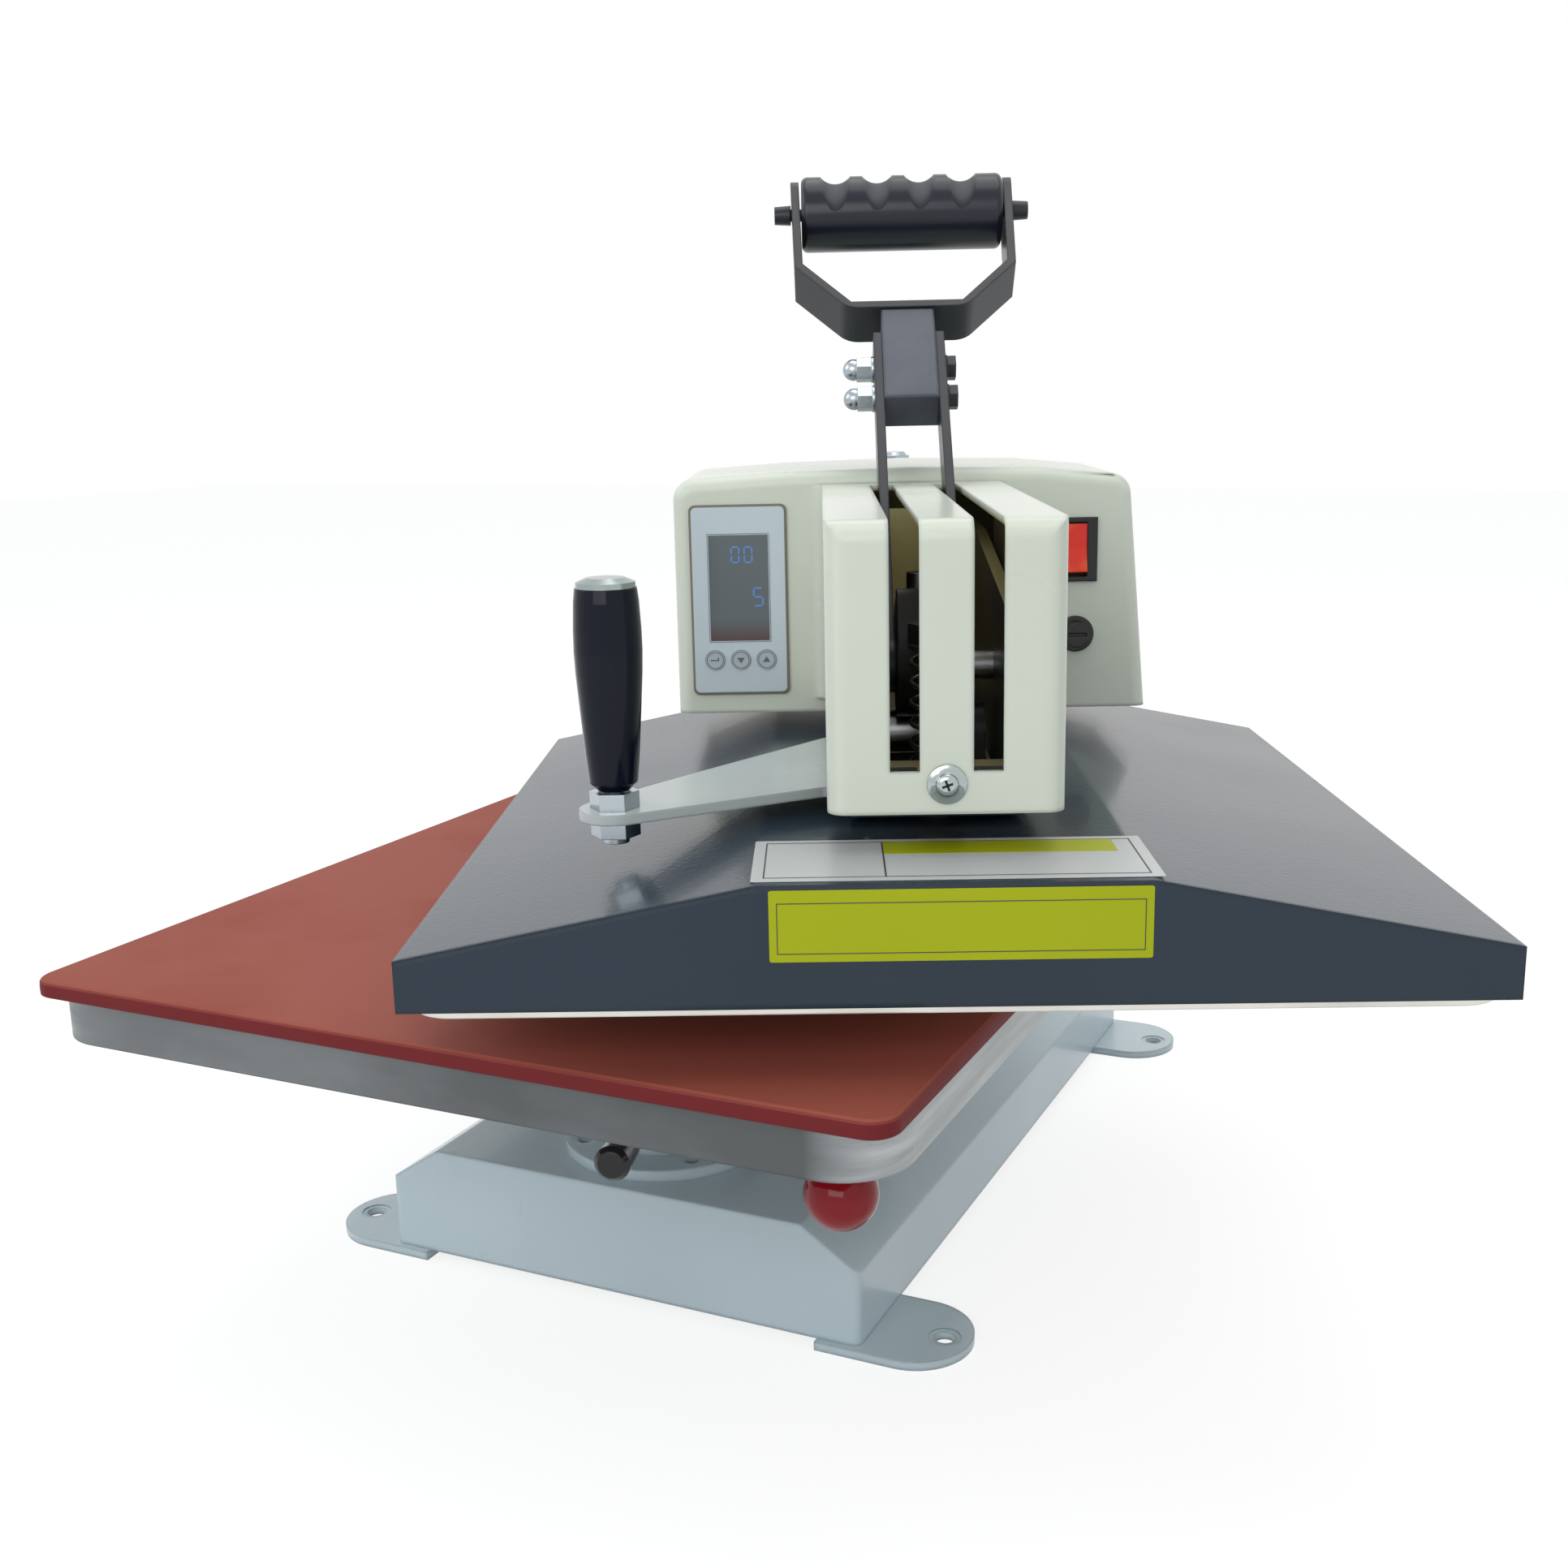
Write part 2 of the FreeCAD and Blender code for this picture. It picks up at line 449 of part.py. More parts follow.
node("platen_socket", cut(socket_body, rod(*on_lock("spindle_bore - lock_screw / 2"),
                                           "lock_screw / 2 + run_gap", "socket_dia / 2", LOCK)))
node("lock_screw", rod(*on_lock("spindle_bore + loose_gap"), "lock_screw / 2", "lock_screw_length", LOCK))
grip = fuse(cone(*on_lock("socket_dia / 2 + lock_gap"), "lock_root_dia / 2", "lock_end_dia / 2",
                 "lock_length - lock_end_bevel", LOCK),
            cone(*on_lock("socket_dia / 2 + lock_gap + lock_length - lock_end_bevel"), "lock_end_dia / 2",
                 "lock_end_dia / 2 - lock_end_bevel", "lock_end_bevel", LOCK))
node("lock_handle", cut(grip, rod(*on_lock("spindle_bore + loose_gap"), "lock_screw / 2",
                                  "lock_screw_length", LOCK)))

# Height collar: a threaded ring on the socket; its rod and ball turn it.
collar_low = "socket_top + collar_gap"
ring_part = cut(rod("0", "platen_y", collar_low, "collar_dia / 2", "collar_high"),
                rod("0", "platen_y", collar_low + " - past", "spindle_bore", "collar_high + 2 * past"))
notches = [rod("(collar_dia / 2 + notch_out) * cos(%d)" % a,
               "platen_y + (collar_dia / 2 + notch_out) * sin(%d)" % a,
               collar_low + " - past", "notch_dia / 2", "collar_high + 2 * past")
           for a in range(0, 360, 15) if a != 330]
ROD_WAY = FreeCAD.Vector(math.cos(math.radians(NAMES["rod_angle"])),
                         math.sin(math.radians(NAMES["rod_angle"])),
                         -NAMES["ball_drop"] / NAMES["ball_reach"])
ROD_TURN = FreeCAD.Rotation(Z, ROD_WAY)


def on_rod(reach):
    """Rules of a point on the collar rod's line."""
    return ("(%s) * cos(rod_angle)" % reach, "platen_y + (%s) * sin(rod_angle)" % reach,
            "ball_height + ball_drop * (1 - (%s) / ball_reach)" % reach)


node("height_collar", cut(ring_part, *notches, rod(*on_rod("rod_root"), "rod_dia / 2", "collar_dia / 2",
                                                   ROD_TURN)))
node("collar_rod", rod(*on_rod("rod_root"), "rod_dia / 2", "ball_reach - rod_root", ROD_TURN))
ball = doc.addObject("Part::Sphere", "ball")
bind(ball, "Radius", "ball_dia / 2")
put(ball, *on_rod("ball_reach"))
ball = cut(ball, rod(*on_rod("ball_reach + ball_dia / 2 - ball_flat"), "ball_dia / 2", "ball_dia / 2",
                     ROD_TURN),
           rod(*on_rod("ball_reach - ball_dia"), "rod_dia / 2", "ball_dia", ROD_TURN))
neck = cut(rod(*on_rod("ball_reach - ball_dia / 2 - neck_out"), "neck_dia / 2", "neck_long", ROD_TURN),
           rod(*on_rod("ball_reach - ball_dia"), "rod_dia / 2", "ball_dia", ROD_TURN))
node("ball_knob", fuse(ball, neck))

# Spindle under the tray: the shank runs in the collar and the socket.
body = new_body("spindle_body")
half = sketch(body, "XZ_Plane", "-platen_y")
corner_line(half, [("0", "spindle_low"), ("thread_dia / 2 - thread_bevel", "spindle_low"),
                   ("thread_dia / 2", "spindle_low + thread_bevel"),
                   ("thread_dia / 2", "tray_low - spindle_flange - spindle_cone"),
                   ("thread_dia / 2 + spindle_cone", "tray_low - spindle_flange"),
                   ("spindle_flange_dia / 2", "tray_low - spindle_flange"),
                   ("spindle_flange_dia / 2", "tray_low"), ("0", "tray_low")])
spin(body, half)
feet = sketch(body, "XY_Plane", "tray_low")
FLANGE_SCREWS = [("tray_screw_circle / 2 * cos(%d)" % a, "platen_y + tray_screw_circle / 2 * sin(%d)" % a)
                 for a in (45, 135, 225, 315)]
for x, y in FLANGE_SCREWS:
    ring(feet, x, y, "tray_screw / 2 + loose_gap")
pocket(body, feet, "spindle_flange + 1")
node("platen_spindle", body)

# Lower tray: hollow from below, with a boss, a cross of ribs and a drafted rim.
body = new_body("tray_body")
rim = sketch(body, "XY_Plane", "tray_low")
corner_line(rim, [("-tray_size / 2", "platen_y - tray_size / 2"),
                  ("tray_size / 2", "platen_y - tray_size / 2"),
                  ("tray_size / 2", "platen_y + tray_size / 2"),
                  ("-tray_size / 2", "platen_y + tray_size / 2")])
slab = pad(body, rim, "tray_top - tray_low")
doc.recompute()
soft = body.newObject("PartDesign::Fillet", "corners")
soft.Base = (slab, ["Edge%d" % n for n, e in enumerate(slab.Shape.Edges, start=1) if upright(e)])
bind(soft, "Radius", "tray_corner")
hollow = sketch(body, "XY_Plane", "tray_low")
for sx in (1, -1):
    for sy in (1, -1):
        near, far = "%d * rib_half", "%d * (tray_size / 2 - tray_wall - tray_lip)"
        u0, u1 = near % sx, far % sx
        v0, v1 = "platen_y + " + near % sy, "platen_y + " + far % sy
        step_u = "%d * (spindle_flange_dia / 2 + boss_wall)" % sx
        step_v = "platen_y + %d * (spindle_flange_dia / 2 + boss_wall)" % sy
        cut_u = far % sx + " - %d * tray_cut_corner" % sx
        cut_v = "platen_y + " + far % sy + " - %d * tray_cut_corner" % sy
        corner_line(hollow, [(step_u, v0), (u1, v0), (u1, cut_v), (cut_u, v1), (u0, v1), (u0, step_v),
                             (step_u, step_v)])
pocket(body, hollow, "tray_top - tray_low - tray_wall", backwards=True)
tapped = sketch(body, "XY_Plane", "tray_low")
for x, y in FLANGE_SCREWS:
    ring(tapped, x, y, "tray_screw / 2")
pocket(body, tapped, "tray_screw_in + 0.5", backwards=True)
node("lower_tray", body)
screws = []
for x, y in FLANGE_SCREWS:
    head_low = "tray_low - spindle_flange - tray_screw_head"
    head = cut(rod(x, y, head_low, "tray_screw_head_dia / 2", "tray_screw_head"),
               hexagon(x, y, head_low + " - past", "tray_screw_key", "tray_screw_key_depth + past"))
    screws.append(fuse(head, rod(x, y, "tray_low - spindle_flange", "tray_screw / 2",
                                 "spindle_flange + tray_screw_in")))
node("tray_screws", group(*screws))

# Silicone pad on the tray.
body = new_body("pad_body")
rim = sketch(body, "XY_Plane", "tray_top")
corner_line(rim, [("-pad_size / 2", "platen_y - pad_size / 2"), ("pad_size / 2", "platen_y - pad_size / 2"),
                  ("pad_size / 2", "platen_y + pad_size / 2"), ("-pad_size / 2", "platen_y + pad_size / 2")])
slab = pad(body, rim, "pad_thick")
doc.recompute()
soft = body.newObject("PartDesign::Fillet", "corners")
soft.Base = (slab, ["Edge%d" % n for n, e in enumerate(slab.Shape.Edges, start=1) if upright(e)])
bind(soft, "Radius", "pad_corner")
doc.recompute()
edges = body.newObject("PartDesign::Fillet", "soft_edges")
edges.Base = (soft, ["Face%d" % n for n, f in enumerate(soft.Shape.Faces, start=1)
                     if abs(f.normalAt(0, 0).z) > 0.99])
bind(edges, "Radius", "pad_soft")
node("silicone_pad", body)

# Head arm: a channel of sheet steel welded to the sleeve that turns on the post.
body = new_body("arm_body")
side = sketch(body, "YZ_Plane")
corner_line(side, [("arm_front", "arm_low"), ("post_y - arm_overlap", "arm_low"),
                   ("post_y - arm_overlap", "arm_top"),
                   ("arm_slope_end", "arm_top"), ("arm_front", "arm_front_top")])
pad(body, side, "2 * arm_half", both_sides=True)
hollow = sketch(body, "YZ_Plane")
corner_line(hollow, [("arm_front - past", "arm_low + arm_floor"), ("post_y + past", "arm_low + arm_floor"),
                     ("post_y + past", "arm_top + past"), ("arm_front - past", "arm_top + past")])
pocket(body, hollow, "2 * (arm_half - arm_plate)", both_sides=True)
tongue = fuse(box("0", "(cover_front + cover_wall + arm_front) / 2 + past", "tongue_low", "2 * tongue_half",
                  "arm_front - cover_front - cover_wall + 2 * past", "arm_floor"),
              box("0", "arm_front + tongue_lap / 2", "tongue_low", "2 * arm_half - arm_plate / 2",
                  "tongue_lap",
                  "arm_floor"),
              box("0", "cover_front + cover_wall + lip_thick / 2", "tongue_low", "2 * tongue_half",
                  "lip_thick",
                  "lip_top - tongue_low"))
arm = fuse(body, tongue, rod("0", "post_y", "sleeve_low", "sleeve_dia / 2", "sleeve_top - sleeve_low"),
           box("0", "post_y + (lug_root + lug_reach) / 2", "sleeve_low", "lug_width", "lug_reach - lug_root",
               "lug_high"))
SWING_SCREWS = [("-swing_screw_x", "-swing_screw_front"), ("-swing_screw_x", "-swing_screw_back")]
arm = cut(arm, rod("0", "post_y", "sleeve_low - past", "sleeve_bore / 2",
                   "sleeve_top - sleeve_low + 2 * past"),
          box("0", "pivot_y", "arm_low - past", "2 * arm_window_x", "2 * arm_window_y",
              "arm_floor + 2 * past"),
          rod("0", "pivot_y + guide_step", "arm_low - past", "guide_bush_dia / 2", "arm_floor + 2 * past"),
          rod("0", "pivot_y - guide_step", "arm_low - past", "guide_bush_dia / 2", "arm_floor + 2 * past"),
          rod("-arm_half - past", "pivot_y", "pivot_z", "pin_dia / 2", "2 * (arm_half + past)", ALONG_X),
          rod("0", "cover_front", "cover_screw_z", "cover_screw / 2", "cover_wall + 2 * lip_thick", ALONG_Y),
          box("-arm_half + arm_plate / 2", "-(swing_front + swing_room + swing_notch_back - past) / 2",
              "arm_low + arm_floor", "arm_plate + 2 * past",
              "swing_front + swing_room - swing_notch_back + past",
              "swing_plate + loose_gap"),
          *[rod(x, y, "arm_low - past", "small_screw / 2", "arm_floor + 2 * past") for x, y in SWING_SCREWS])
node("head_arm", arm, on_head=True)

# Two bushes in the sleeve; the flange of the lower one carries the head.
bore = rod("0", "post_y", "post_shoulder - past", "post_dia / 2 + run_gap", "sleeve_top")
flanged = fuse(rod("0", "post_y", "sleeve_low", "sleeve_bore / 2", "bush_length"),
               rod("0", "post_y", "post_shoulder + run_gap", "sleeve_dia / 2 - sleeve_rim",
                   "sleeve_low - post_shoulder - run_gap"))
node("sleeve_bushes", group(
    cut(flanged, bore), cut(rod("0", "post_y", "sleeve_top - bush_length", "sleeve_bore / 2", "bush_length"),
                            bore)),
     on_head=True)
pin = fuse(rod("-arm_half - lever_pin_out", "pivot_y", "pivot_z", "pin_dia / 2",
               "2 * arm_half + lever_pin_out + lever_pin_head_high / 2", ALONG_X),
           rod("arm_half", "pivot_y", "pivot_z", "pin_dia / 2 + lever_pin_head", "lever_pin_head_high",
               ALONG_X),
           rod("-arm_half - clip_out", "pivot_y", "pivot_z", "pin_dia / 2 + clip_rim", "clip_thick", ALONG_X))
node("lever_pin", pin, on_head=True)
node("guide_bushes", group(*[
    cut(fuse(rod("0", y, "arm_low", "guide_bush_dia / 2", "arm_floor"),
             rod("0", y, "arm_low + arm_floor", "bush_flange_dia / 2", "bush_flange")),
        rod("0", y, "arm_low - past", "guide_dia / 2 + run_gap", "arm_floor + bush_flange + 2 * past"))
    for y in ("pivot_y + guide_step", "pivot_y - guide_step")]), on_head=True)

# Swing handle: a bent tongue of plate, a stud with two nuts and a turning grip.
body = new_body("swing_body")
tab = sketch(body, "XY_Plane", "arm_low + arm_floor")
corner_line(tab, [("-swing_in", "-swing_front"), ("-swing_bend_x", "-swing_front - 2"),
                  ("grip_x + 5", "grip_y - 12.2"), ("grip_x - 10", "grip_y + 9"),
                  ("-swing_back_bend_x", "-swing_back_bend_y"), ("-swing_bend_x + 0.6", "-swing_back"),
                  ("-swing_wall_x", "-swing_back"), ("-swing_wall_x", "-swing_notch_back"),
                  ("-swing_notch_x", "-swing_notch_back"), ("-swing_notch_x", "-swing_notch_front"),
                  ("-swing_in", "-swing_notch_front")])
pad(body, tab, "swing_plate")
tab = fuse(body, rod("grip_x", "grip_y", "arm_low + arm_floor", "swing_tip_dia / 2", "swing_plate"))
tab = cut(tab, rod("grip_x", "grip_y", "arm_low", "stud_dia / 2", "arm_floor + swing_plate + past"),
          *[rod(x, y, "arm_low", "small_screw / 2 + 2 * run_gap", "arm_floor + swing_plate + past")
            for x, y in SWING_SCREWS])
node("swing_plate", tab, on_head=True)
node("swing_stud", fuse(rod("grip_x", "grip_y", "arm_low - stud_out", "stud_dia / 2",
                            "grip_low - arm_low + stud_out"),
                        rod("grip_x", "grip_y", "grip_low", "grip_pin_dia / 2",
                            "grip_long - grip_pin_short")),
     on_head=True)
nuts = [cut(hexagon("grip_x", "grip_y", low, "nut_flats", "nut_high"),
            rod("grip_x", "grip_y", low + " - past", "stud_dia / 2", "nut_high + 2 * past"))
        for low in ("arm_low + arm_floor - nut_high", "arm_low + arm_floor + swing_plate")]
plate_screws = [fuse(rod(x, y, "arm_low - past", "small_screw / 2",
                         "past + arm_floor + swing_plate + small_head / 2"),
                     hexagon(x, y, "arm_low + arm_floor + swing_plate", "small_flats", "small_head"))
                for x, y in SWING_SCREWS]
node("swing_fasteners", group(*nuts, *plate_screws), on_head=True)
body = new_body("grip_body")
half = sketch(body, "XZ_Plane", "-grip_y")
GRIP_LINE = [("grip_foot_dia / 2", "grip_gap"), ("grip_bead_dia / 2", "grip_gap + 3"),
             ("0.4 * grip_belly_dia", "14"),
             ("0.448 * grip_belly_dia", "30"), ("0.488 * grip_belly_dia", "44"), ("grip_belly_dia / 2", "52"),
             ("0.496 * grip_belly_dia", "60"), ("0.476 * grip_belly_dia", "70"),
             ("grip_top_dia / 2", "grip_body")]
corner_line(half, [("grip_x + grip_bore_dia / 2", "grip_low + grip_gap")]
            + [("grip_x + %s" % r, "grip_low + %s" % up) for r, up in GRIP_LINE]
            + [("grip_x + grip_bore_dia / 2", "grip_low + grip_body")])
turned = body.newObject("PartDesign::Revolution", "turned")
edge = sketch(body, "XZ_Plane", "-grip_y")
line = edge.addGeometry(Part.LineSegment(FreeCAD.Vector(-120, 0, 0), FreeCAD.Vector(-120, 50, 0)), False)
edge.addConstraint(Sketcher.Constraint("Vertical", line))
for rule, kind, start in (("grip_x", "DistanceX", -120.0), ("0", "DistanceY", 0.0)):
    n = edge.addConstraint(Sketcher.Constraint(kind, -1, 1, line, 1, start))
    bind(edge, "Constraints[%d]" % n, rule)
turned.Profile = half
turned.ReferenceAxis = (edge, ["Edge1"])
turned.Angle = 360
edge.Visibility = False
node("swing_grip", body, on_head=True)
node("grip_cap", fuse(rod("grip_x", "grip_y", "grip_low + grip_body", "cap_rim_dia / 2", "cap_rim"),
                      cone("grip_x", "grip_y", "grip_low + grip_body + cap_rim", "cap_rim_dia / 2",
                           "cap_top_dia / 2",
                           "cap_crown")), on_head=True)

# Lever, drawn upright with the pivot at zero and then leaned back about the pin.


def lean(thing):
    """Leans a lever piece back about the pivot."""
    doc.recompute()
    thing.Placement = FreeCAD.Placement(FreeCAD.Vector(), FreeCAD.Rotation(X, 1))
    bind(thing, "Placement.Rotation.Angle", "360 - lever_lean")
    bind(thing, "Placement.Base.y", "pivot_y")
    bind(thing, "Placement.Base.z", "pivot_z")
    return group(thing)


CLAMPS = ("clamp_first", "clamp_first + clamp_step")
bars = []
for side in (1, -1):
    x = "%d * (bar_gap + bar_thick) / 2" % side
    flat = fuse(box(x, "0", "0", "bar_thick", "bar_wide", "clamp_first + clamp_step + bar_over"),
                rod(x + " - bar_thick / 2", "0", "0", "bar_wide / 2 + bar_boss", "bar_thick", ALONG_X))
    bars.append(cut(flat, rod(x + " - bar_thick", "0", "0", "pin_dia / 2 + run_gap", "2 * bar_thick",
                              ALONG_X),
                    *[rod(x + " - bar_thick", "0", z, "clamp_bolt / 2", "2 * bar_thick",
                          ALONG_X) for z in CLAMPS]))
node("lever_bars", lean(group(*bars)), on_head=True)

# Cam between the bars: its edge falls away from the pin by the same amount for
# every degree of lever, so the roller under it goes down in step with the lever.
rise = NAMES["press_stroke"] / math.radians(NAMES["lever_travel"])
edge_points = []
for step in range(-1, 18):
    turned_by = math.radians(NAMES["lever_travel"]) * step / 16
    reach = NAMES["cam_start"] + rise * turned_by
    way = math.radians(270 + NAMES["lever_lean"]) - turned_by
    out = FreeCAD.Vector(0, math.cos(way), math.sin(way))
    across = FreeCAD.Vector(0, -math.sin(way), math.cos(way))
    normal = (out * reach + across * rise).normalize()
    edge_points.append(out * reach - normal * (NAMES["cam_roller"] + 0.12))
for angle, reach in ((158, 34), (138, 26), (110, 19.5), (80, 16), (45, 14.5), (10, 14), (-25, 14)):
    edge_points.append(FreeCAD.Vector(0, math.cos(math.radians(angle)),
                                      math.sin(math.radians(angle))) * reach)
curve = Part.BSplineCurve()
curve.interpolate(Points=edge_points, PeriodicFlag=True)
disc = Part.Face(Part.Wire(curve.toShape())).extrude(X * NAMES["bar_gap"])
disc.translate(X * (-NAMES["bar_gap"] / 2))
hole = Part.makeCylinder(NAMES["pin_dia"] / 2 + NAMES["run_gap"], 60, X * -30, X)
cam = doc.addObject("Part::Feature", "cam")
cam.Shape = disc.cut(hole)
node("lever_cam", lean(cam), on_head=True)

block = cut(box("0", "0", "block_from", "bar_gap", "block_deep", "block_long"),
            *[rod("-bar_gap", "0", z, "clamp_bolt / 2", "2 * bar_gap", ALONG_X) for z in CLAMPS],
            rod("0", "0", "block_from + block_long - yoke_screw_in - past", "small_screw / 2",
                "yoke_screw_in + 2 * past"))
node("lever_block", lean(bevel_edges(block, NAMES["block_bevel"], lambda e: (
    e.Length > NAMES["bar_gap"] - 1 and e.Curve.TypeId == "Part::GeomLine"))),
     on_head=True)
clamp_bolts, dome_nuts = [], []
half = "(bar_gap / 2 + bar_thick)"
for z in CLAMPS:
    clamp_bolts.append(fuse(rod("-%s - clamp_tail" % half, "0", z, "clamp_bolt / 2",
                                "2 * %s + clamp_tail + clamp_washer" % half, ALONG_X),
                            hexagon(half + " + clamp_washer", "0", z, "clamp_flats", "clamp_head", ALONG_X),
                            rod(half, "0", z, "clamp_washer_dia / 2", "clamp_washer", ALONG_X)))
    dome = doc.addObject("Part::Sphere", "dome")
    bind(dome, "Radius", "dome_dia / 2")
    put(dome, "-%s - dome_out" % half, "0", z)
    dome_nuts.append(cut(fuse(rod("-%s - dome_washer" % half, "0", z, "clamp_washer_dia / 2", "dome_washer",
                                  ALONG_X),
                              dome, hexagon("-%s - dome_washer - dome_nut" % half, "0", z, "clamp_flats",
                                            "dome_nut",
                                            ALONG_X)),
                         rod("-%s - clamp_tail" % half, "0", z, "clamp_bolt / 2", "clamp_tail + past",
                             ALONG_X)))
node("dome_nuts", lean(group(*dome_nuts)), on_head=True)

# Yoke: flat bar bent to a fork; the grip lies between its arms.
body = new_body("yoke_body")
flat = sketch(body, "XZ_Plane")
low, high = "block_from + block_long", "yoke_end"
slant = "yoke_shoulder + block_from + block_long"
corner_line(flat, [("-yoke_root_half", low), ("yoke_root_half", low), ("yoke_half - yoke_draw_in", slant),
                   ("yoke_half", high), ("yoke_half - yoke_thick", high),
                   ("yoke_half - yoke_draw_in - yoke_thick", slant + " + 0.425 * yoke_thick"),
                   ("yoke_root_half - 0.425 * yoke_thick", low + " + yoke_thick"),
                   ("-yoke_root_half + 0.425 * yoke_thick", low + " + yoke_thick"),
                   ("-yoke_half + yoke_draw_in + yoke_thick", slant + " + 0.425 * yoke_thick"),
                   ("-yoke_half + yoke_thick", high), ("-yoke_half", high),
                   ("-yoke_half + yoke_draw_in", slant)])
pad(body, flat, "yoke_wide", both_sides=True)
yoke = cut(body, rod("0", "0", low + " - past", "small_screw / 2 + 2 * run_gap", "yoke_thick + 2 * past"),
           cone("0", "0", low + " + yoke_thick - yoke_screw_head - 2 * run_gap",
                "small_screw / 2 + 2 * run_gap",
                "small_screw + 4 * run_gap", "yoke_screw_head + 4 * run_gap"),
           rod("-yoke_half - past", "0", "grip_centre", "grip_bolt_dia / 2 + 2 * run_gap",
               "2 * (yoke_half + past)",
               ALONG_X))
yoke = round_edges(yoke, NAMES["yoke_wide"] / 2 - 1, lambda e: (
    e.BoundBox.ZMin > NAMES["yoke_end"] - 0.1 and e.BoundBox.XLength > 0.7 * NAMES["yoke_thick"]
    and e.BoundBox.YLength < 1))
yoke = round_edges(yoke, NAMES["yoke_round"], lambda e: (
    abs(e.BoundBox.YLength - NAMES["yoke_wide"]) < 0.1 and e.BoundBox.XLength < 0.1
    and abs(e.BoundBox.ZMin - NAMES["block_from"] - NAMES["block_long"]) < 0.1
    and abs(abs(e.BoundBox.XMin) - NAMES["yoke_root_half"]) < 0.1))
node("lever_yoke", lean(yoke), on_head=True)
yoke_screw = fuse(rod("0", "0", low + " - yoke_screw_in", "small_screw / 2",
                      "yoke_screw_in + yoke_thick - yoke_screw_head / 2"),
                  cone("0", "0", low + " + yoke_thick - yoke_screw_head", "small_screw / 2", "small_screw",
                       "yoke_screw_head"))
node("lever_screws", lean(group(yoke_screw, *clamp_bolts)), on_head=True)
grip = rod("-lever_grip_half", "0", "grip_centre", "lever_grip_dia / 2", "2 * lever_grip_half", ALONG_X)
grip = round_edges(grip, NAMES["lever_grip_round"],
                   lambda e: abs(e.Length - math.pi * NAMES["lever_grip_dia"]) < 0.1)
grooves = []
for place in range(4):
    dent = doc.addObject("Part::Torus", "dent")
    bind(dent, "Radius1", "lever_grip_dia / 2 + dent_centre")
    bind(dent, "Radius2", "dent_round")
    grooves.append(put(dent, "%d * dent_pitch - dent_first" % place, "dent_ahead", "grip_centre - dent_down",
                       ALONG_X))
grip = cut(grip, *grooves, rod("-lever_grip_half - past", "0", "grip_centre", "grip_bolt_dia / 2",
                               "grip_bolt_in + 2 * past", ALONG_X),
           rod("lever_grip_half - grip_bolt_in - past", "0", "grip_centre", "grip_bolt_dia / 2",
               "grip_bolt_in + 2 * past", ALONG_X))
node("lever_grip", lean(grip), on_head=True)
ends = []
for side, start in ((1, "yoke_half - grip_bolt_in"), (-1, "-yoke_half")):
    ends.append(fuse(rod(start, "0", "grip_centre", "grip_bolt_dia / 2", "grip_bolt_in", ALONG_X),
                     cone("%d * yoke_half" % side, "0", "grip_centre", "grip_head_dia / 2",
                          "grip_head_dia / 2 - grip_head_draft", "grip_head",
                          FreeCAD.Rotation(Y, 90 * side))))
node("grip_bolts", lean(group(*ends)), on_head=True)

# Roller fork on the press slide.
fork = box("0", "pivot_y", "fork_low", "2 * (fork_inner + fork_cheek)", "fork_deep",
           "pivot_z - cam_start - fork_low + fork_over")
fork = round_edges(fork, NAMES["fork_round"], lambda e: (
    e.BoundBox.ZMin > NAMES["fork_low"] + NAMES["fork_base"] and e.BoundBox.XLength > NAMES["fork_inner"]))
FORK_SCREWS = [("%d * fork_screw_x" % a, "pivot_y + %d * fork_screw_y" % b) for a in (1, -1) for b in (1, -1)]
fork = cut(fork, box("0", "pivot_y", "fork_low + fork_base", "2 * fork_inner", "fork_deep + 2 * past",
                     "pivot_z - fork_low"),
           rod("-fork_inner - fork_cheek - past", "pivot_y", "pivot_z - cam_start", "roller_pin / 2",
               "2 * (fork_inner + fork_cheek + past)", ALONG_X),
           *[rod(x, y, "fork_low - past", "small_screw / 2", "fork_base + 2 * past") for x, y in FORK_SCREWS])
node("roller_fork", fork, on_head=True)
node("cam_roller", cut(rod("-roller_half", "pivot_y", "pivot_z - cam_start", "cam_roller", "2 * roller_half",
                           ALONG_X),
                       rod("-roller_half - past", "pivot_y", "pivot_z - cam_start",
                           "roller_pin / 2 + run_gap",
                           "2 * (roller_half + past)", ALONG_X)),
     on_head=True)
node("roller_pin", fuse(rod("-fork_inner - fork_cheek - roller_pin_out", "pivot_y", "pivot_z - cam_start",
                            "roller_pin / 2", "2 * (fork_inner + fork_cheek) + 1.5 * roller_pin_out",
                            ALONG_X),
                        rod("fork_inner + fork_cheek", "pivot_y", "pivot_z - cam_start",
                            "roller_pin / 2 + roller_pin_rim", "roller_pin_out", ALONG_X)), on_head=True)

# Carrier plate, its spacers and the two guide rods.
SPACERS = [("%d * spacer_x" % a, "platen_y + %d * spacer_y" % b) for a in (1, -1) for b in (1, -1)]
GUIDES = ("pivot_y + guide_step", "pivot_y - guide_step")
carrier = cut(box("0", "(carrier_front + carrier_back) / 2", "carrier_low", "2 * carrier_x",
                  "carrier_back - carrier_front", "carrier_thick"),
              *[rod(x, y, "carrier_low - past", "slide_bolt_hole / 2", "carrier_thick + 2 * past")
                for x, y in SPACERS],
              *[rod(x, y, "carrier_low - past", "small_screw / 2", "carrier_thick + 2 * past")
                for x, y in FORK_SCREWS],
              *[rod("0", y, "carrier_low - past", "guide_tail_dia / 2", "carrier_thick + 2 * past")
                for y in GUIDES])
plate_top = "plate_low + plate_thick"
carrier = round_edges(carrier, NAMES["carrier_round"],
                      lambda e: upright(e) and abs(e.Vertexes[0].Point.x) > NAMES["carrier_x"] - 1)
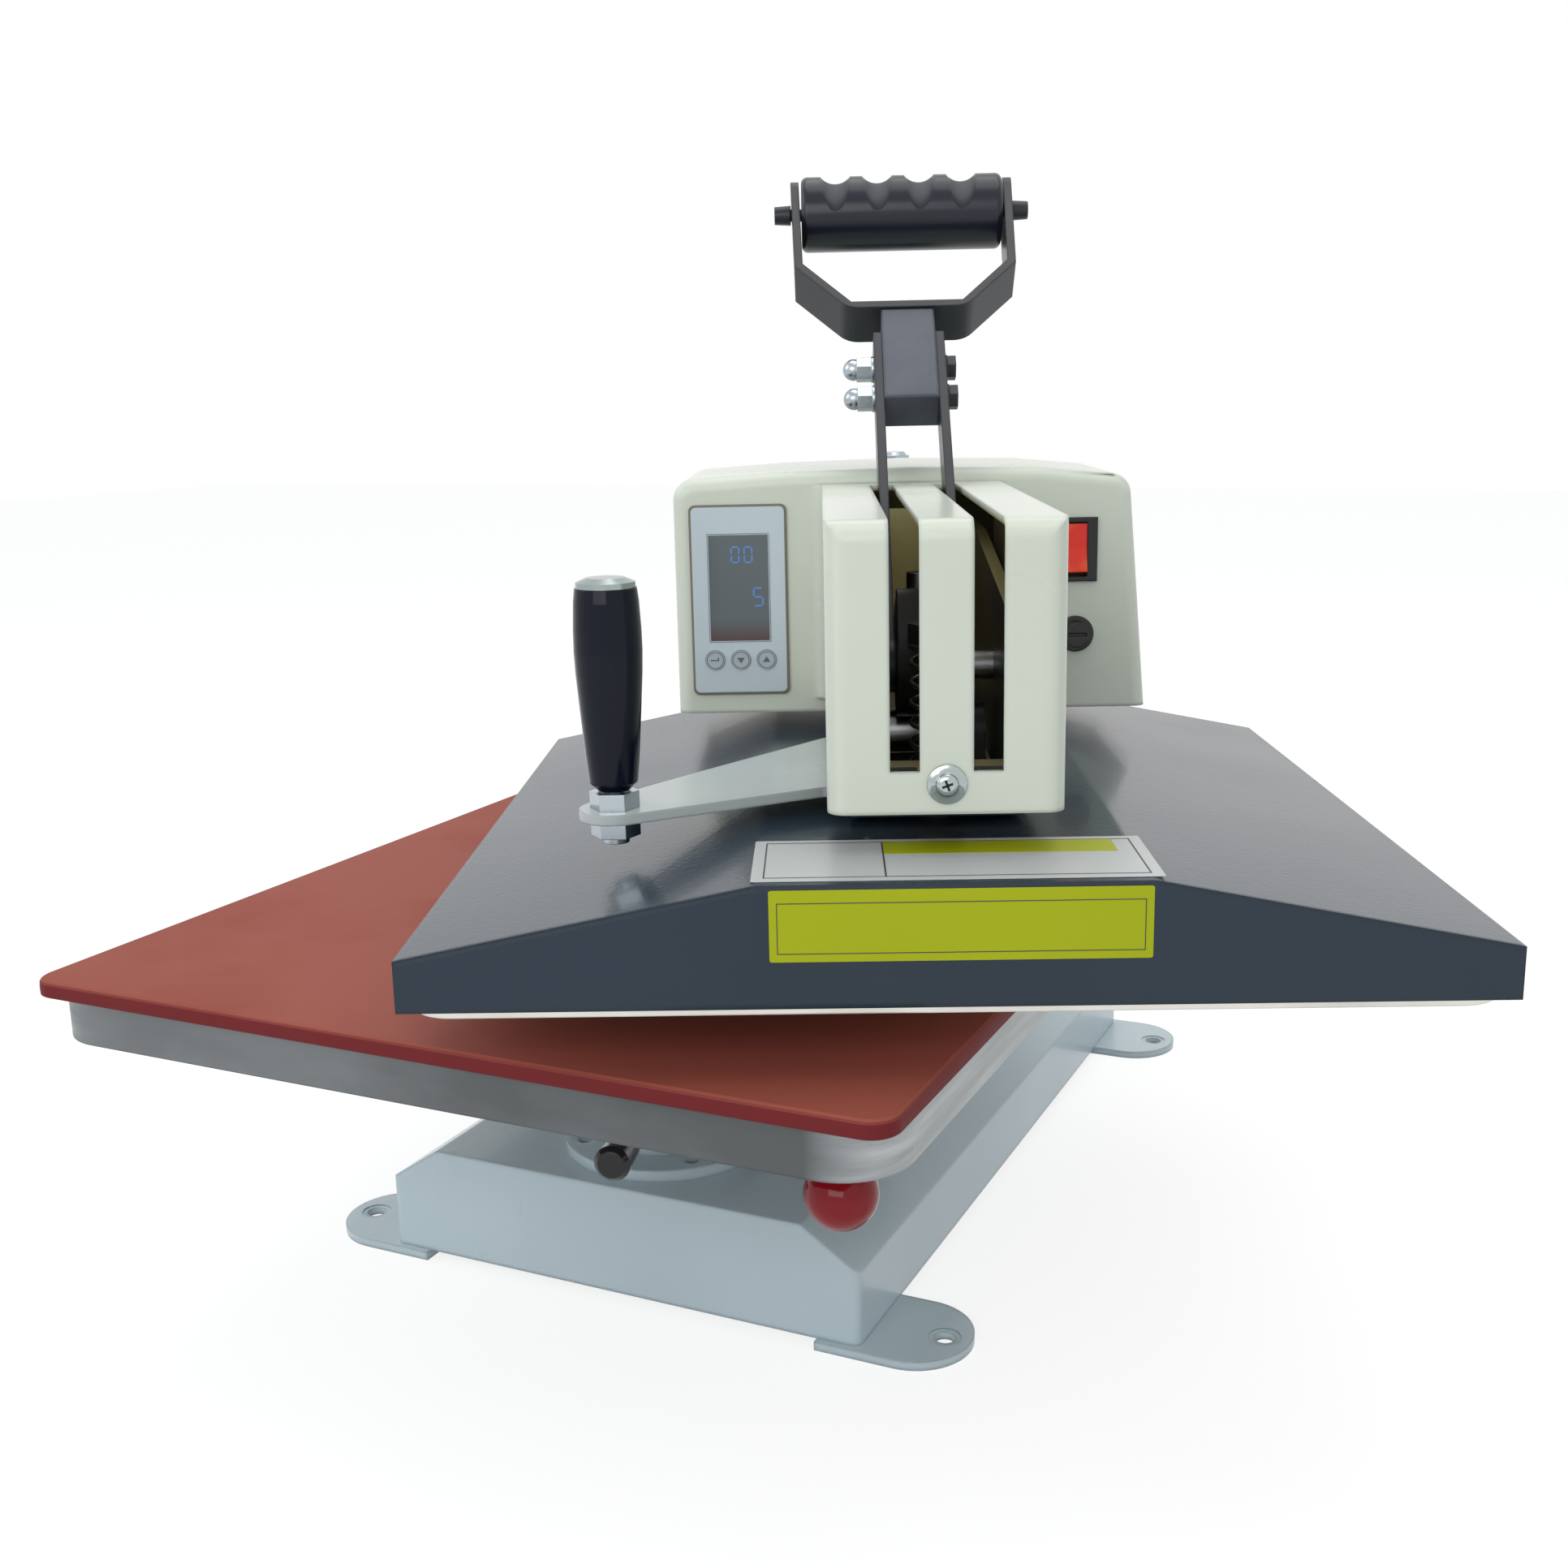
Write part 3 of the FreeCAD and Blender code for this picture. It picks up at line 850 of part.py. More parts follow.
carrier = fuse(carrier, *[
    cut(rod(x, y, plate_top, "spacer_dia / 2", "carrier_low - plate_low - plate_thick"),
        rod(x, y, plate_top + " - past", "slide_bolt_hole / 2", "carrier_low - plate_low")) for x,
                          y in SPACERS])
node("carrier_plate", carrier, on_head=True)
slide_bolts = [fuse(rod(x, y, plate_top + " - slide_bolt_in", "slide_bolt / 2",
                        "carrier_low + carrier_thick - plate_low - plate_thick + slide_bolt_in"),
                    hexagon(x, y, "carrier_low + carrier_thick", "slide_flats", "slide_head")) for x,
               y in SPACERS]
slide_bolts += [fuse(rod(x, y, "carrier_low + past", "small_screw / 2",
                         "fork_low + fork_base - carrier_low - past"),
                     rod(x, y, "fork_low + fork_base", "fork_screw_head_dia / 2", "fork_screw_head"))
                for x, y in FORK_SCREWS]
node("slide_bolts", group(*slide_bolts), on_head=True)
node("guide_rods", group(*[
    fuse(rod("0", y, "carrier_low - guide_tail", "guide_tail_dia / 2", "guide_tail + carrier_thick"),
         rod("0", y, "carrier_low + carrier_thick", "guide_dia / 2",
             "guide_top - carrier_low - carrier_thick"))
    for y in GUIDES]), on_head=True)
nuts = []
for y in GUIDES:
    nuts.append(cut(fuse(rod("0", y, "guide_nut_low - guide_washer", "guide_washer_dia / 2", "guide_washer"),
                         hexagon("0", y, "guide_nut_low", "guide_nut_flats", "guide_nut")),
                    rod("0", y, "guide_nut_low - guide_washer - past", "guide_dia / 2",
                        "guide_nut + guide_washer + 2 * past")))
    nuts.append(cut(hexagon("0", y, "carrier_low - guide_tail", "guide_tail_flats", "guide_tail"),
                    rod("0", y, "carrier_low - guide_tail - past", "guide_tail_dia / 2",
                        "guide_tail + 2 * past")))
node("guide_nuts", group(*nuts), on_head=True)
coils = []
spring_low = (NAMES["arm_low"] + NAMES["arm_floor"] + NAMES["bush_flange"] + NAMES["spring_wire"] / 2
              + 2 * NAMES["run_gap"])
spring_high = NAMES["guide_nut_low"] - NAMES["guide_washer"] - NAMES["spring_wire"] / 2 - 2 * NAMES["run_gap"]
for way in (1, -1):
    centre = FreeCAD.Vector(0, NAMES["pivot_y"] + way * NAMES["guide_step"], spring_low)
    helix = Part.makeHelix((spring_high - spring_low) / NAMES["spring_turns"], spring_high - spring_low,
                           NAMES["spring_mean"] / 2)
    ring_wire = Part.Wire(Part.makeCircle(NAMES["spring_wire"] / 2, X * (NAMES["spring_mean"] / 2), Y))
    coil = Part.Wire(helix.Edges).makePipeShell([ring_wire], True, True)
    coil.translate(centre)
    coils.append(coil)
springs = doc.addObject("Part::Feature", "springs")
springs.Shape = Part.makeCompound(coils)
node("return_springs", springs, on_head=True)

# Heating plate with a tube heater half sunk into its back, and a blanket on top.
plate = box("0", "platen_y", "plate_low", "2 * (hood_half - plate_inset)", "hood_long - 2 * plate_inset",
            "plate_thick")
plate = round_edges(plate, NAMES["plate_corner"], upright)
half_run = [(NAMES["tube_lead"], NAMES["tube_back"]), (NAMES["tube_wide"], NAMES["tube_back"]),
            (NAMES["tube_wide"], -NAMES["tube_front"]), (NAMES["tube_near"], -NAMES["tube_front"]),
            (NAMES["tube_near"], NAMES["tube_mid_back"])]
LEGS = [(-x, y) for x, y in half_run] + half_run[::-1]
level = NAMES["plate_low"] + NAMES["plate_thick"]
stops = [FreeCAD.Vector(x, NAMES["platen_y"] + y, level) for x, y in LEGS]
path = []
start = stops[0]
for before, here, after in zip(stops, stops[1:], stops[2:]):
    back, ahead = (before - here).normalize(), (after - here).normalize()
    bend = NAMES["tube_bend"]
    enter, leave = here + back * bend, here + ahead * bend
    middle = here + (back + ahead) * (bend * (1 - math.sqrt(0.5)))
    path += [Part.LineSegment(start, enter).toShape(), Part.Arc(enter, middle, leave).toShape()]
    start = leave
path.append(Part.LineSegment(start, stops[-1]).toShape())
run = Part.Wire(path)


def tube_along(radius):
    """Round bar along the heater's run."""
    ring_wire = Part.Wire(Part.makeCircle(radius, stops[0], X))
    return run.makePipeShell([ring_wire], True, False)


groove = doc.addObject("Part::Feature", "groove")
groove.Shape = tube_along(NAMES["tube_dia"] / 2 + NAMES["run_gap"])
plate = cut(plate, groove, *[rod(x, y, "plate_low + plate_bolt_skin", "slide_bolt / 2", "plate_thick")
                             for x, y in SPACERS])
node("heating_plate", plate, on_head=True)
heater = doc.addObject("Part::Feature", "heater")
heater.Shape = tube_along(NAMES["tube_dia"] / 2)
node("heating_tube", heater, on_head=True)
blanket = box("0", "platen_y", "plate_low + plate_thick + tube_dia / 2 + loose_gap",
              "2 * (hood_half - blanket_inset)", "hood_long - 2 * blanket_inset", "blanket_thick")
node("heat_blanket", cut(round_edges(blanket, NAMES["blanket_corner"], upright),
                         *[rod(x, y, "plate_low", "spacer_dia / 2 + loose_gap + 0.2",
                               "carrier_low - plate_low")
                           for x, y in SPACERS]), on_head=True)

# Hood over the heating plate: folded sheet with a flat ridge and two slopes.
body = new_body("hood_body")
outer = sketch(body, "XZ_Plane", "-platen_y")
corner_line(outer, [("-hood_half", "hood_low"), ("hood_half", "hood_low"),
                    ("hood_half", "hood_low + hood_side"),
                    ("hood_ridge_half", "hood_top"), ("-hood_ridge_half", "hood_top"),
                    ("-hood_half", "hood_low + hood_side")])
pad(body, outer, "hood_long", both_sides=True)
inner = sketch(body, "XZ_Plane", "-platen_y")
corner_line(inner, [("-hood_half + hood_sheet", "hood_low - 1"), ("hood_half - hood_sheet", "hood_low - 1"),
                    ("hood_half - hood_sheet", "hood_low + hood_side - hood_sheet * 0.9"),
                    ("hood_ridge_half - hood_sheet * 0.1", "hood_top - hood_sheet"),
                    ("-hood_ridge_half + hood_sheet * 0.1", "hood_top - hood_sheet"),
                    ("-hood_half + hood_sheet", "hood_low + hood_side - hood_sheet * 0.9")])
pocket(body, inner, "hood_long - 2 * hood_sheet", both_sides=True)
HOOD_SCREWS = [("%d * hood_screw_x" % a, "platen_y + %d * hood_screw_y" % b) for a in (1, -1) for b in (1,
                                                                                                        -1)]
opening = sketch(body, "XY_Plane", "hood_top")
corner_line(opening, [("-arm_window_x", "pivot_y - hood_window_y"),
                      ("arm_window_x", "pivot_y - hood_window_y"),
                      ("arm_window_x", "pivot_y + hood_window_y"),
                      ("-arm_window_x", "pivot_y + hood_window_y")])
for y in GUIDES:
    ring(opening, "0", y, "guide_dia / 2 + hood_guide_gap")
for x, y in HOOD_SCREWS:
    ring(opening, x, y, "hood_screw / 2 + 2 * run_gap")
pocket(body, opening, "hood_sheet + past")
node("platen_hood", body, on_head=True)

# Posts that carry the hood on the carrier, each with a screw.
node("hood_posts", group(*[
    fuse(hexagon(x, y, "carrier_low + carrier_thick", "hood_post_flats",
                 "hood_top - hood_sheet - carrier_low - carrier_thick"),
         rod(x, y, "hood_top - hood_sheet", "hood_screw / 2", "hood_sheet"),
         rod(x, y, "hood_top", "hood_screw_head_dia / 2", "hood_screw_head")) for x, y in HOOD_SCREWS]),
     on_head=True)

# Head cover: a nose over the arm and a control box behind it, one thin shell.
body = new_body("cover_body")
face = sketch(body, "XZ_Plane", "-box_back")
corner_line(face, [("box_left", "box_low"), ("box_right_low", "box_low"), ("box_right_top", "box_edge_top"),
                   ("crown_right", "box_top - crown_fall"), ("0", "box_top"),
                   ("-crown_left", "box_top - crown_fall"), ("box_left", "box_edge_top + left_rise")])
pad(body, face, "box_back - box_front")
front = sketch(body, "XZ_Plane", "-box_front")
corner_line(front, [("-nose_half", "nose_low"), ("nose_half", "nose_low"), ("nose_half", "nose_top"),
                    ("-nose_half", "nose_top")])
nose = pad(body, front, "box_front - cover_front")
doc.recompute()


def pick(feature, test):
    """Names of the edges of a feature that the test wants."""
    return ["Edge%d" % n for n, e in enumerate(feature.Shape.Edges, start=1) if test(e.BoundBox)]


def box_corner(b):
    """The two long edges where the top of the box meets its sides."""
    return b.YLength > 20 and b.ZLength < 1 and b.ZMin > NAMES["box_edge_top"] - 1 \
        and abs(b.XMin) > NAMES["nose_half"] + 20


def nose_joint(b):
    """The inner edges where the sides of the nose meet the box."""
    return b.YLength < 0.1 and abs(b.YMin - NAMES["box_front"]) < 0.1 and b.XLength < 0.1 \
        and abs(abs(b.XMin) - NAMES["nose_half"]) < 0.1


def nose_edge(b):
    """The front edges of the nose, upright ones and the one along its top."""
    return abs(b.YMin - NAMES["cover_front"]) < 0.1 and b.YLength < 0.1 \
        and (b.ZLength > 20 or b.ZMin > NAMES["nose_top"] - 0.1)


def box_edge(b):
    """The upright front edges of the box."""
    return abs(b.YMin - NAMES["box_front"]) < 0.1 and b.YLength < 0.1 and b.ZLength > 20 \
        and (b.XMin < -NAMES["nose_half"] - 20 or b.XMax > NAMES["nose_half"] + 20)


rounded = nose
for label, test, size in (("top_corners", box_corner, "box_round"), ("joint", nose_joint, "blend_round"),
                          ("nose_edges", nose_edge, "cover_round"),
                          ("box_edges", box_edge, "box_edge_round")):
    step = body.newObject("PartDesign::Fillet", label)
    step.Base = (rounded, pick(rounded, test))
    bind(step, "Radius", size)
    doc.recompute()
    rounded = step
inner = sketch(body, "XZ_Plane", "-box_back")
corner_line(inner, [("box_left + cover_wall", "box_low - past"),
                    ("box_right_low - cover_wall", "box_low - past"),
                    ("box_right_top - cover_wall", "box_edge_top - 4"),
                    ("box_right_top - 7 - cover_wall * 0.5", "box_edge_top + 2.6 - cover_wall"),
                    ("45", "box_top - 0.5 - cover_wall"), ("0", "box_top - cover_wall"),
                    ("-crown_left", "box_top - crown_fall - loose_gap - cover_wall"),
                    ("box_left + 7 + cover_wall * 0.5", "box_edge_top + 1.6 - cover_wall"),
                    ("box_left + cover_wall", "box_edge_top - 6.5")])
pocket(body, inner, "box_back - box_front - cover_wall", backwards=True)
tunnel = sketch(body, "XZ_Plane", "-box_front - cover_wall - past")
corner_line(tunnel, [("-nose_half + cover_wall", "nose_low - 8"), ("nose_half - cover_wall", "nose_low - 8"),
                     ("nose_half - cover_wall", "nose_top - cover_wall"),
                     ("-nose_half + cover_wall", "nose_top - cover_wall")])
pocket(body, tunnel, "box_front - cover_front + past", backwards=True)
slots = sketch(body, "XY_Plane", "box_top + past")
for side in (1, -1):
    corner_line(slots, [("%d * slot_near" % side, "cover_front - past"),
                        ("%d * slot_far" % side, "cover_front - past"),
                        ("%d * slot_far" % side, "slot_back"), ("%d * slot_near" % side, "slot_back")])
pocket(body, slots, "box_top + past - slot_low")
front = sketch(body, "XZ_Plane", "-cover_front + past")
ring(front, "0", "cover_screw_z", "cover_screw / 2 + 4 * run_gap")
pocket(body, front, "cover_wall + 2 * past")
windows = sketch(body, "XZ_Plane", "-box_front + past")
half_wide, half_high = "(screen_wide / 2 + window_gap)", "(screen_high / 2 + window_gap)"
corner_line(windows, [("panel_x - " + half_wide, "screen_z - " + half_high),
                      ("panel_x + " + half_wide, "screen_z - " + half_high),
                      ("panel_x + " + half_wide, "screen_z + " + half_high),
                      ("panel_x - " + half_wide, "screen_z + " + half_high)])
for step in (-1, 0, 1):
    ring(windows, "panel_x + %d * button_step" % step, "button_z", "button_dia / 2 + button_gap")
half_wide, half_high = "(rocker_wide / 2 - rocker_lap)", "(rocker_high / 2 - rocker_lap)"
corner_line(windows, [("rocker_x - " + half_wide, "rocker_z - " + half_high),
                      ("rocker_x + " + half_wide, "rocker_z - " + half_high),
                      ("rocker_x + " + half_wide, "rocker_z + " + half_high),
                      ("rocker_x - " + half_wide, "rocker_z + " + half_high)])
ring(windows, "fuse_x", "fuse_z", "fuse_hole / 2")
pocket(body, windows, "cover_wall + 2 * past")
node("head_cover", body, on_head=True)
node("cover_screw", fuse(rod("0", "cover_front - washer_thick", "cover_screw_z", "cover_screw / 2",
                             "cover_screw_long",
                             ALONG_Y),
                         rod("0", "cover_front - washer_thick", "cover_screw_z", "washer_dia / 2",
                             "washer_thick",
                             ALONG_Y),
                         cone("0", "cover_front - washer_thick - screw_crown_high", "cover_screw_z",
                              "screw_crown_dia / 2", "screw_head_dia / 2", "screw_crown_high", ALONG_Y)),
     on_head=True)

# Back wall of the control box, cut out around the arm and the inlet, with a
# floor flange on each side of the arm.
body = new_body("back_body")
wall = sketch(body, "XZ_Plane", "-box_back")
corner_line(wall, [("box_left + cover_wall + back_gap", "box_low + back_gap"),
                   ("-arm_half - arm_room", "box_low + back_gap"),
                   ("-arm_half - arm_room", "arm_top + arm_room"),
                   ("arm_half + arm_room", "arm_top + arm_room"),
                   ("arm_half + arm_room", "box_low + back_gap"),
                   ("box_right_low - cover_wall - back_gap", "box_low + back_gap"),
                   ("box_right_top - cover_wall - back_gap", "box_edge_top - 5"),
                   ("box_right_top - 8 - cover_wall * 0.5", "box_edge_top + 2 - cover_wall"),
                   ("45", "box_top - 2 * back_gap - cover_wall"), ("0", "box_top - cover_wall - back_gap"),
                   ("-crown_left", "box_top - crown_fall - loose_gap - back_gap - cover_wall"),
                   ("box_left + 8 + cover_wall * 0.5", "box_edge_top + 1 - cover_wall"),
                   ("box_left + cover_wall + back_gap", "box_edge_top - 7.5")])
corner_line(wall, [("inlet_x - inlet_hole / 2", "inlet_z - inlet_high / 2"),
                   ("inlet_x + inlet_hole / 2", "inlet_z - inlet_high / 2"),
                   ("inlet_x + inlet_hole / 2", "inlet_z + inlet_high / 2"),
                   ("inlet_x - inlet_hole / 2", "inlet_z + inlet_high / 2")])
pad(body, wall, "back_plate")
flange = sketch(body, "XY_Plane", "box_low + back_gap")
corner_line(flange, [("box_left + cover_wall + back_gap", "box_front + cover_wall + back_gap"),
                     ("-arm_half - arm_room", "box_front + cover_wall + back_gap"),
                     ("-arm_half - arm_room", "box_back - back_plate / 2"),
                     ("box_left + cover_wall + back_gap", "box_back - back_plate / 2")])
corner_line(flange, [("arm_half + arm_room", "box_front + cover_wall + back_gap"),
                     ("box_right_low - cover_wall - back_gap", "box_front + cover_wall + back_gap"),
                     ("box_right_low - cover_wall - back_gap", "box_back - back_plate / 2"),
                     ("arm_half + arm_room", "box_back - back_plate / 2")])
pad(body, flange, "flange_thick")
vents = [rod("vent_first_x + %d * vent_step_x" % i, "box_back - back_plate - past",
             "vent_first_z + %d * vent_step_z" % j,
             "vent_dia / 2", "back_plate + 2 * past", ALONG_Y) for i in range(5) for j in range(7)]
node("box_back", cut(body, *vents), on_head=True)
inlet = fuse(box("inlet_x", "box_back - inlet_body_in / 2", "inlet_z - inlet_body_high / 2",
                 "inlet_body_wide",
                 "inlet_body_in", "inlet_body_high"),
             box("inlet_x", "box_back + inlet_rim / 2", "inlet_z - inlet_rim_high / 2", "inlet_rim_wide",
                 "inlet_rim",
                 "inlet_rim_high"))
pins = [box("inlet_x + %d * blade_step" % a, "box_back - socket_deep - past + blade_out / 2",
            "inlet_z - 4 + %d * blade_rise" % b, "blade_wide", "blade_out", "blade_high")
        for a, b in ((1, 0), (-1, 0), (0, 1))]
inlet = fuse(cut(inlet, box("inlet_x", "box_back - (socket_deep - inlet_rim - past) / 2",
                            "inlet_z - socket_high / 2",
                            "socket_wide", "socket_deep + inlet_rim + past", "socket_high")), *pins)
node("power_inlet", inlet, on_head=True)

# Control panel with its frame, the display board behind it and three buttons.
panel = box("panel_x", "box_front - panel_thick / 2", "panel_z - panel_high / 2", "panel_wide", "panel_thick",
            "panel_high")
panel = round_edges(panel, NAMES["panel_round"], lambda e: (
    abs(e.BoundBox.YLength - NAMES["panel_thick"]) < 1e-6 and abs(e.Length - NAMES["panel_thick"]) < 1e-6))
panel = cut(panel, box("panel_x", "box_front", "screen_z - screen_high / 2", "screen_wide", "3 * panel_thick",
                       "screen_high"),
            *[rod("panel_x + %d * button_step" % i, "box_front - panel_thick - past", "button_z",
                  "button_dia / 2 + button_gap / 2", "panel_thick + 2 * past", ALONG_Y) for i in (-1, 0, 1)])
node("control_panel", panel, on_head=True)
board = box("panel_x", "box_front + cover_wall + board_behind", "panel_z - board_down", "board_wide",
            "board_thick",
            "board_high")
screen = box("panel_x", "box_front - display_out + display_deep / 2",
             "screen_z - screen_high / 2 + display_gap",
             "screen_wide - 2 * display_gap", "display_deep", "screen_high - 2 * display_gap")
COMPONENTS = [(-14, 26, 12, 3), (8, 18, 16, 9), (-6, -8, 9, 2), (14, -16, 7, 6)]
parts = [box("panel_x + %d" % a, "box_front + cover_wall + board_behind + (board_thick + %d) / 2" % deep,
             "panel_z - 0.3 + %d" % c, "%d" % wide, "%d" % deep, "%d" % wide) for a, c, wide,
         deep in COMPONENTS]
switches = [box("panel_x + %d * button_step" % i, "box_front + cover_wall + tact_in",
                "button_z - tact_wide / 2",
                "tact_wide", "tact_thick", "tact_wide") for i in (-1, 0, 1)]
node("control_board", fuse(board, screen, *parts, *switches), on_head=True)
for name, i in (("down_button", -1), ("set_button", 0), ("up_button", 1)):
    x = "panel_x + %d * button_step" % i
    node(name, fuse(rod(x, "box_front - panel_thick - button_out", "button_z", "button_dia / 2",
                        "button_long",
                        ALONG_Y),
                    rod(x, "box_front", "button_z", "button_stem_dia / 2", "button_stem_long", ALONG_Y)),
         on_head=True)

# Power switch: a bezel with its housing, and the rocker that tips on a pin across it.
switch = fuse(box("rocker_x", "box_front - bezel_thick / 2", "rocker_z - rocker_high / 2", "rocker_wide",
                  "bezel_thick", "rocker_high"),
              box("rocker_x", "box_front + switch_deep / 2", "rocker_z - rocker_high / 2 + switch_inset",
                  "rocker_wide - 2 * switch_inset", "switch_deep", "rocker_high - 2 * switch_inset"))
switch = cut(switch, box("rocker_x", "box_front - bezel_thick - past + switch_well_deep / 2",
                         "rocker_z - switch_well_high / 2", "switch_well_wide", "switch_well_deep",
                         "switch_well_high"),
             rod("rocker_x - pin_long / 2 - pin_end_gap", "rocker_pivot", "rocker_z",
                 "rocker_pin / 2 + run_gap",
                 "pin_long + 2 * pin_end_gap", ALONG_X))
tabs = [box("rocker_x", "box_front + switch_deep - past + tab_long / 2", "rocker_z + %d * tab_step" % i,
            "tab_wide",
            "tab_long", "tab_thick") for i in (-1, 0, 1)]
node("switch_body", fuse(switch, *tabs), on_head=True)
body = new_body("rocker_body")
side_view = sketch(body, "YZ_Plane", "0")
corner_line(side_view, [("3", "-2.5"), ("3", "2.5"), ("-3", "11.4"), ("-6.8", "11.2"), ("-5.2", "0"),
                        ("-6.8", "-11.2"), ("-3", "-11.4")])
pad(body, side_view, "rocker_body_wide", both_sides=True)
rocker = fuse(body, rod("-pin_long / 2", "0", "0", "rocker_pin / 2", "pin_long", ALONG_X))
doc.recompute()
rocker.Placement = FreeCAD.Placement(FreeCAD.Vector(), FreeCAD.Rotation(X, 1))
bind(rocker, "Placement.Rotation.Angle", "360 - rocker_tip / 2")
bind(rocker, "Placement.Base.x", "rocker_x")
bind(rocker, "Placement.Base.y", "rocker_pivot")
bind(rocker, "Placement.Base.z", "rocker_z")
node("power_rocker", group(rocker), on_head=True)

# Fuse holder with its quarter-turn cap.
holder = fuse(rod("fuse_x", "box_front - fuse_rim", "fuse_z", "fuse_dia / 2", "fuse_rim", ALONG_Y),
              rod("fuse_x", "box_front", "fuse_z", "fuse_body_dia / 2", "fuse_body_long", ALONG_Y),
              hexagon("fuse_x", "box_front + cover_wall", "fuse_z", "fuse_nut_flats", "fuse_nut", ALONG_Y))
node("fuse_holder", cut(holder, rod("fuse_x", "box_front - fuse_rim - past", "fuse_z", "fuse_bore_dia / 2",
                                    "fuse_bore_deep + fuse_rim + past", ALONG_Y)), on_head=True)
cap = fuse(rod("fuse_x", "box_front - fuse_cap_out", "fuse_z", "fuse_cap_dia / 2", "fuse_cap_high", ALONG_Y),
           rod("fuse_x", "box_front - fuse_cap_out + past", "fuse_z", "fuse_stem_dia / 2",
               "fuse_cap_out - past + fuse_stem_in", ALONG_Y))
node("fuse_cap", cut(cap, box("fuse_x", "box_front - fuse_cap_out", "fuse_z - slit_wide / 2",
                              "0.75 * fuse_cap_dia",
                              "2 * slit_deep", "slit_wide")), on_head=True)


# Writes every named piece after a check of all objects.
doc.recompute()
for thing in doc.Objects:
    if "Invalid" in thing.State or "Error" in thing.State:
        raise RuntimeError("cannot be rebuilt: %s %s" % (thing.Name, thing.Label))
for piece in nodes:
    if piece.Shape.isNull() or not piece.Shape.isValid() or not piece.Shape.Solids:
        raise RuntimeError("bad shape: " + piece.Label)
    piece.Shape.exportStep("parts/%s.step" % piece.Label)
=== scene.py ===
import bmesh
import bpy
import math
from mathutils import Matrix, Vector


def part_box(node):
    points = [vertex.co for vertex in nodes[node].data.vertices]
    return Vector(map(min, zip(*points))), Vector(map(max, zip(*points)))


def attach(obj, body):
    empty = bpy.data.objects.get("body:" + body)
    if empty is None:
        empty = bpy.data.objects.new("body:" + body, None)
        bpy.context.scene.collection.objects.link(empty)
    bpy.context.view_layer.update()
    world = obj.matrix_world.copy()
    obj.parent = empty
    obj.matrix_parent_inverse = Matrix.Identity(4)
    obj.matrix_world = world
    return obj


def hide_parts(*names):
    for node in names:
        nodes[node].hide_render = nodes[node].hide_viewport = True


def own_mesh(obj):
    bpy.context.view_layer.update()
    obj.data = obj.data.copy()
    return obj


# Flat heat press with a head that swings aside. The solids come from the
# frame; each section dresses one piece of the press, from the base upwards.
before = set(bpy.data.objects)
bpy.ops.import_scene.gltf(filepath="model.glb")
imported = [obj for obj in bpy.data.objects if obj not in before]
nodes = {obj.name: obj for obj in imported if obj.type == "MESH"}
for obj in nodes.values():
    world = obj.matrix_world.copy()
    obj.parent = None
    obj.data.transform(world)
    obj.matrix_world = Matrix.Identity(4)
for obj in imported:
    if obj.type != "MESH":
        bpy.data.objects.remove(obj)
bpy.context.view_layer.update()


# Base frame and its four lugs: a shallow box folded from steel sheet and
# sprayed in one coat of pale blue-grey gloss, which dries with a fine peel.
def effect(name, inputs, outputs):
    """Empty shader group with its sockets; returns it with its two ends."""
    group = bpy.data.node_groups.new(name, "ShaderNodeTree")
    for title, value in inputs:
        socket = group.interface.new_socket(title, in_out="INPUT", socket_type="NodeSocketFloat")
        socket.default_value = value
    for title in outputs:
        group.interface.new_socket(title, in_out="OUTPUT", socket_type="NodeSocketFloat")
    return group, group.nodes.new("NodeGroupInput"), group.nodes.new("NodeGroupOutput")


def noise(tree, scale, detail=3.0, stretch=(1, 1, 1)):
    """Noise on object coordinates; scale is a number or a socket."""
    place = tree.nodes.new("ShaderNodeTexCoord")
    pull = tree.nodes.new("ShaderNodeVectorMath")
    pull.operation = "MULTIPLY"
    pull.inputs[1].default_value = stretch
    cloud = tree.nodes.new("ShaderNodeTexNoise")
    cloud.inputs["Detail"].default_value = detail
    tree.links.new(place.outputs["Object"], pull.inputs[0])
    tree.links.new(pull.outputs[0], cloud.inputs["Vector"])
    if isinstance(scale, (int, float)):
        cloud.inputs["Scale"].default_value = scale
    else:
        tree.links.new(scale, cloud.inputs["Scale"])
    return cloud.outputs["Fac"]


def remap(tree, value, low, high, to_low=0.0, to_high=1.0):
    """Maps low..high of a value to to_low..to_high and stops there."""
    step = tree.nodes.new("ShaderNodeMapRange")
    ends = {"From Min": low, "From Max": high, "To Min": to_low, "To Max": to_high}
    for slot, number in ends.items():
        step.inputs[slot].default_value = number
    tree.links.new(value, step.inputs["Value"])
    return step.outputs["Result"]


def mix(tree, mask, first, second):
    """Colour that goes from first to second with the mask; either may be a socket."""
    blend = tree.nodes.new("ShaderNodeMix")
    blend.data_type = "RGBA"
    tree.links.new(mask, blend.inputs[0])
    for slot, colour in ((6, first), (7, second)):
        if isinstance(colour, tuple):
            blend.inputs[slot].default_value = (*colour, 1)
        else:
            tree.links.new(colour, blend.inputs[slot])
    return blend.outputs[2]


peel, peel_in, peel_out = effect("paint_peel", [("Scale", 220.0)], ["Height", "Cloud"])
peel.links.new(noise(peel, peel_in.outputs["Scale"], 2.0), peel_out.inputs["Height"])
peel.links.new(remap(peel, noise(peel, 9.0, 3.0), 0.3, 0.7), peel_out.inputs["Cloud"])


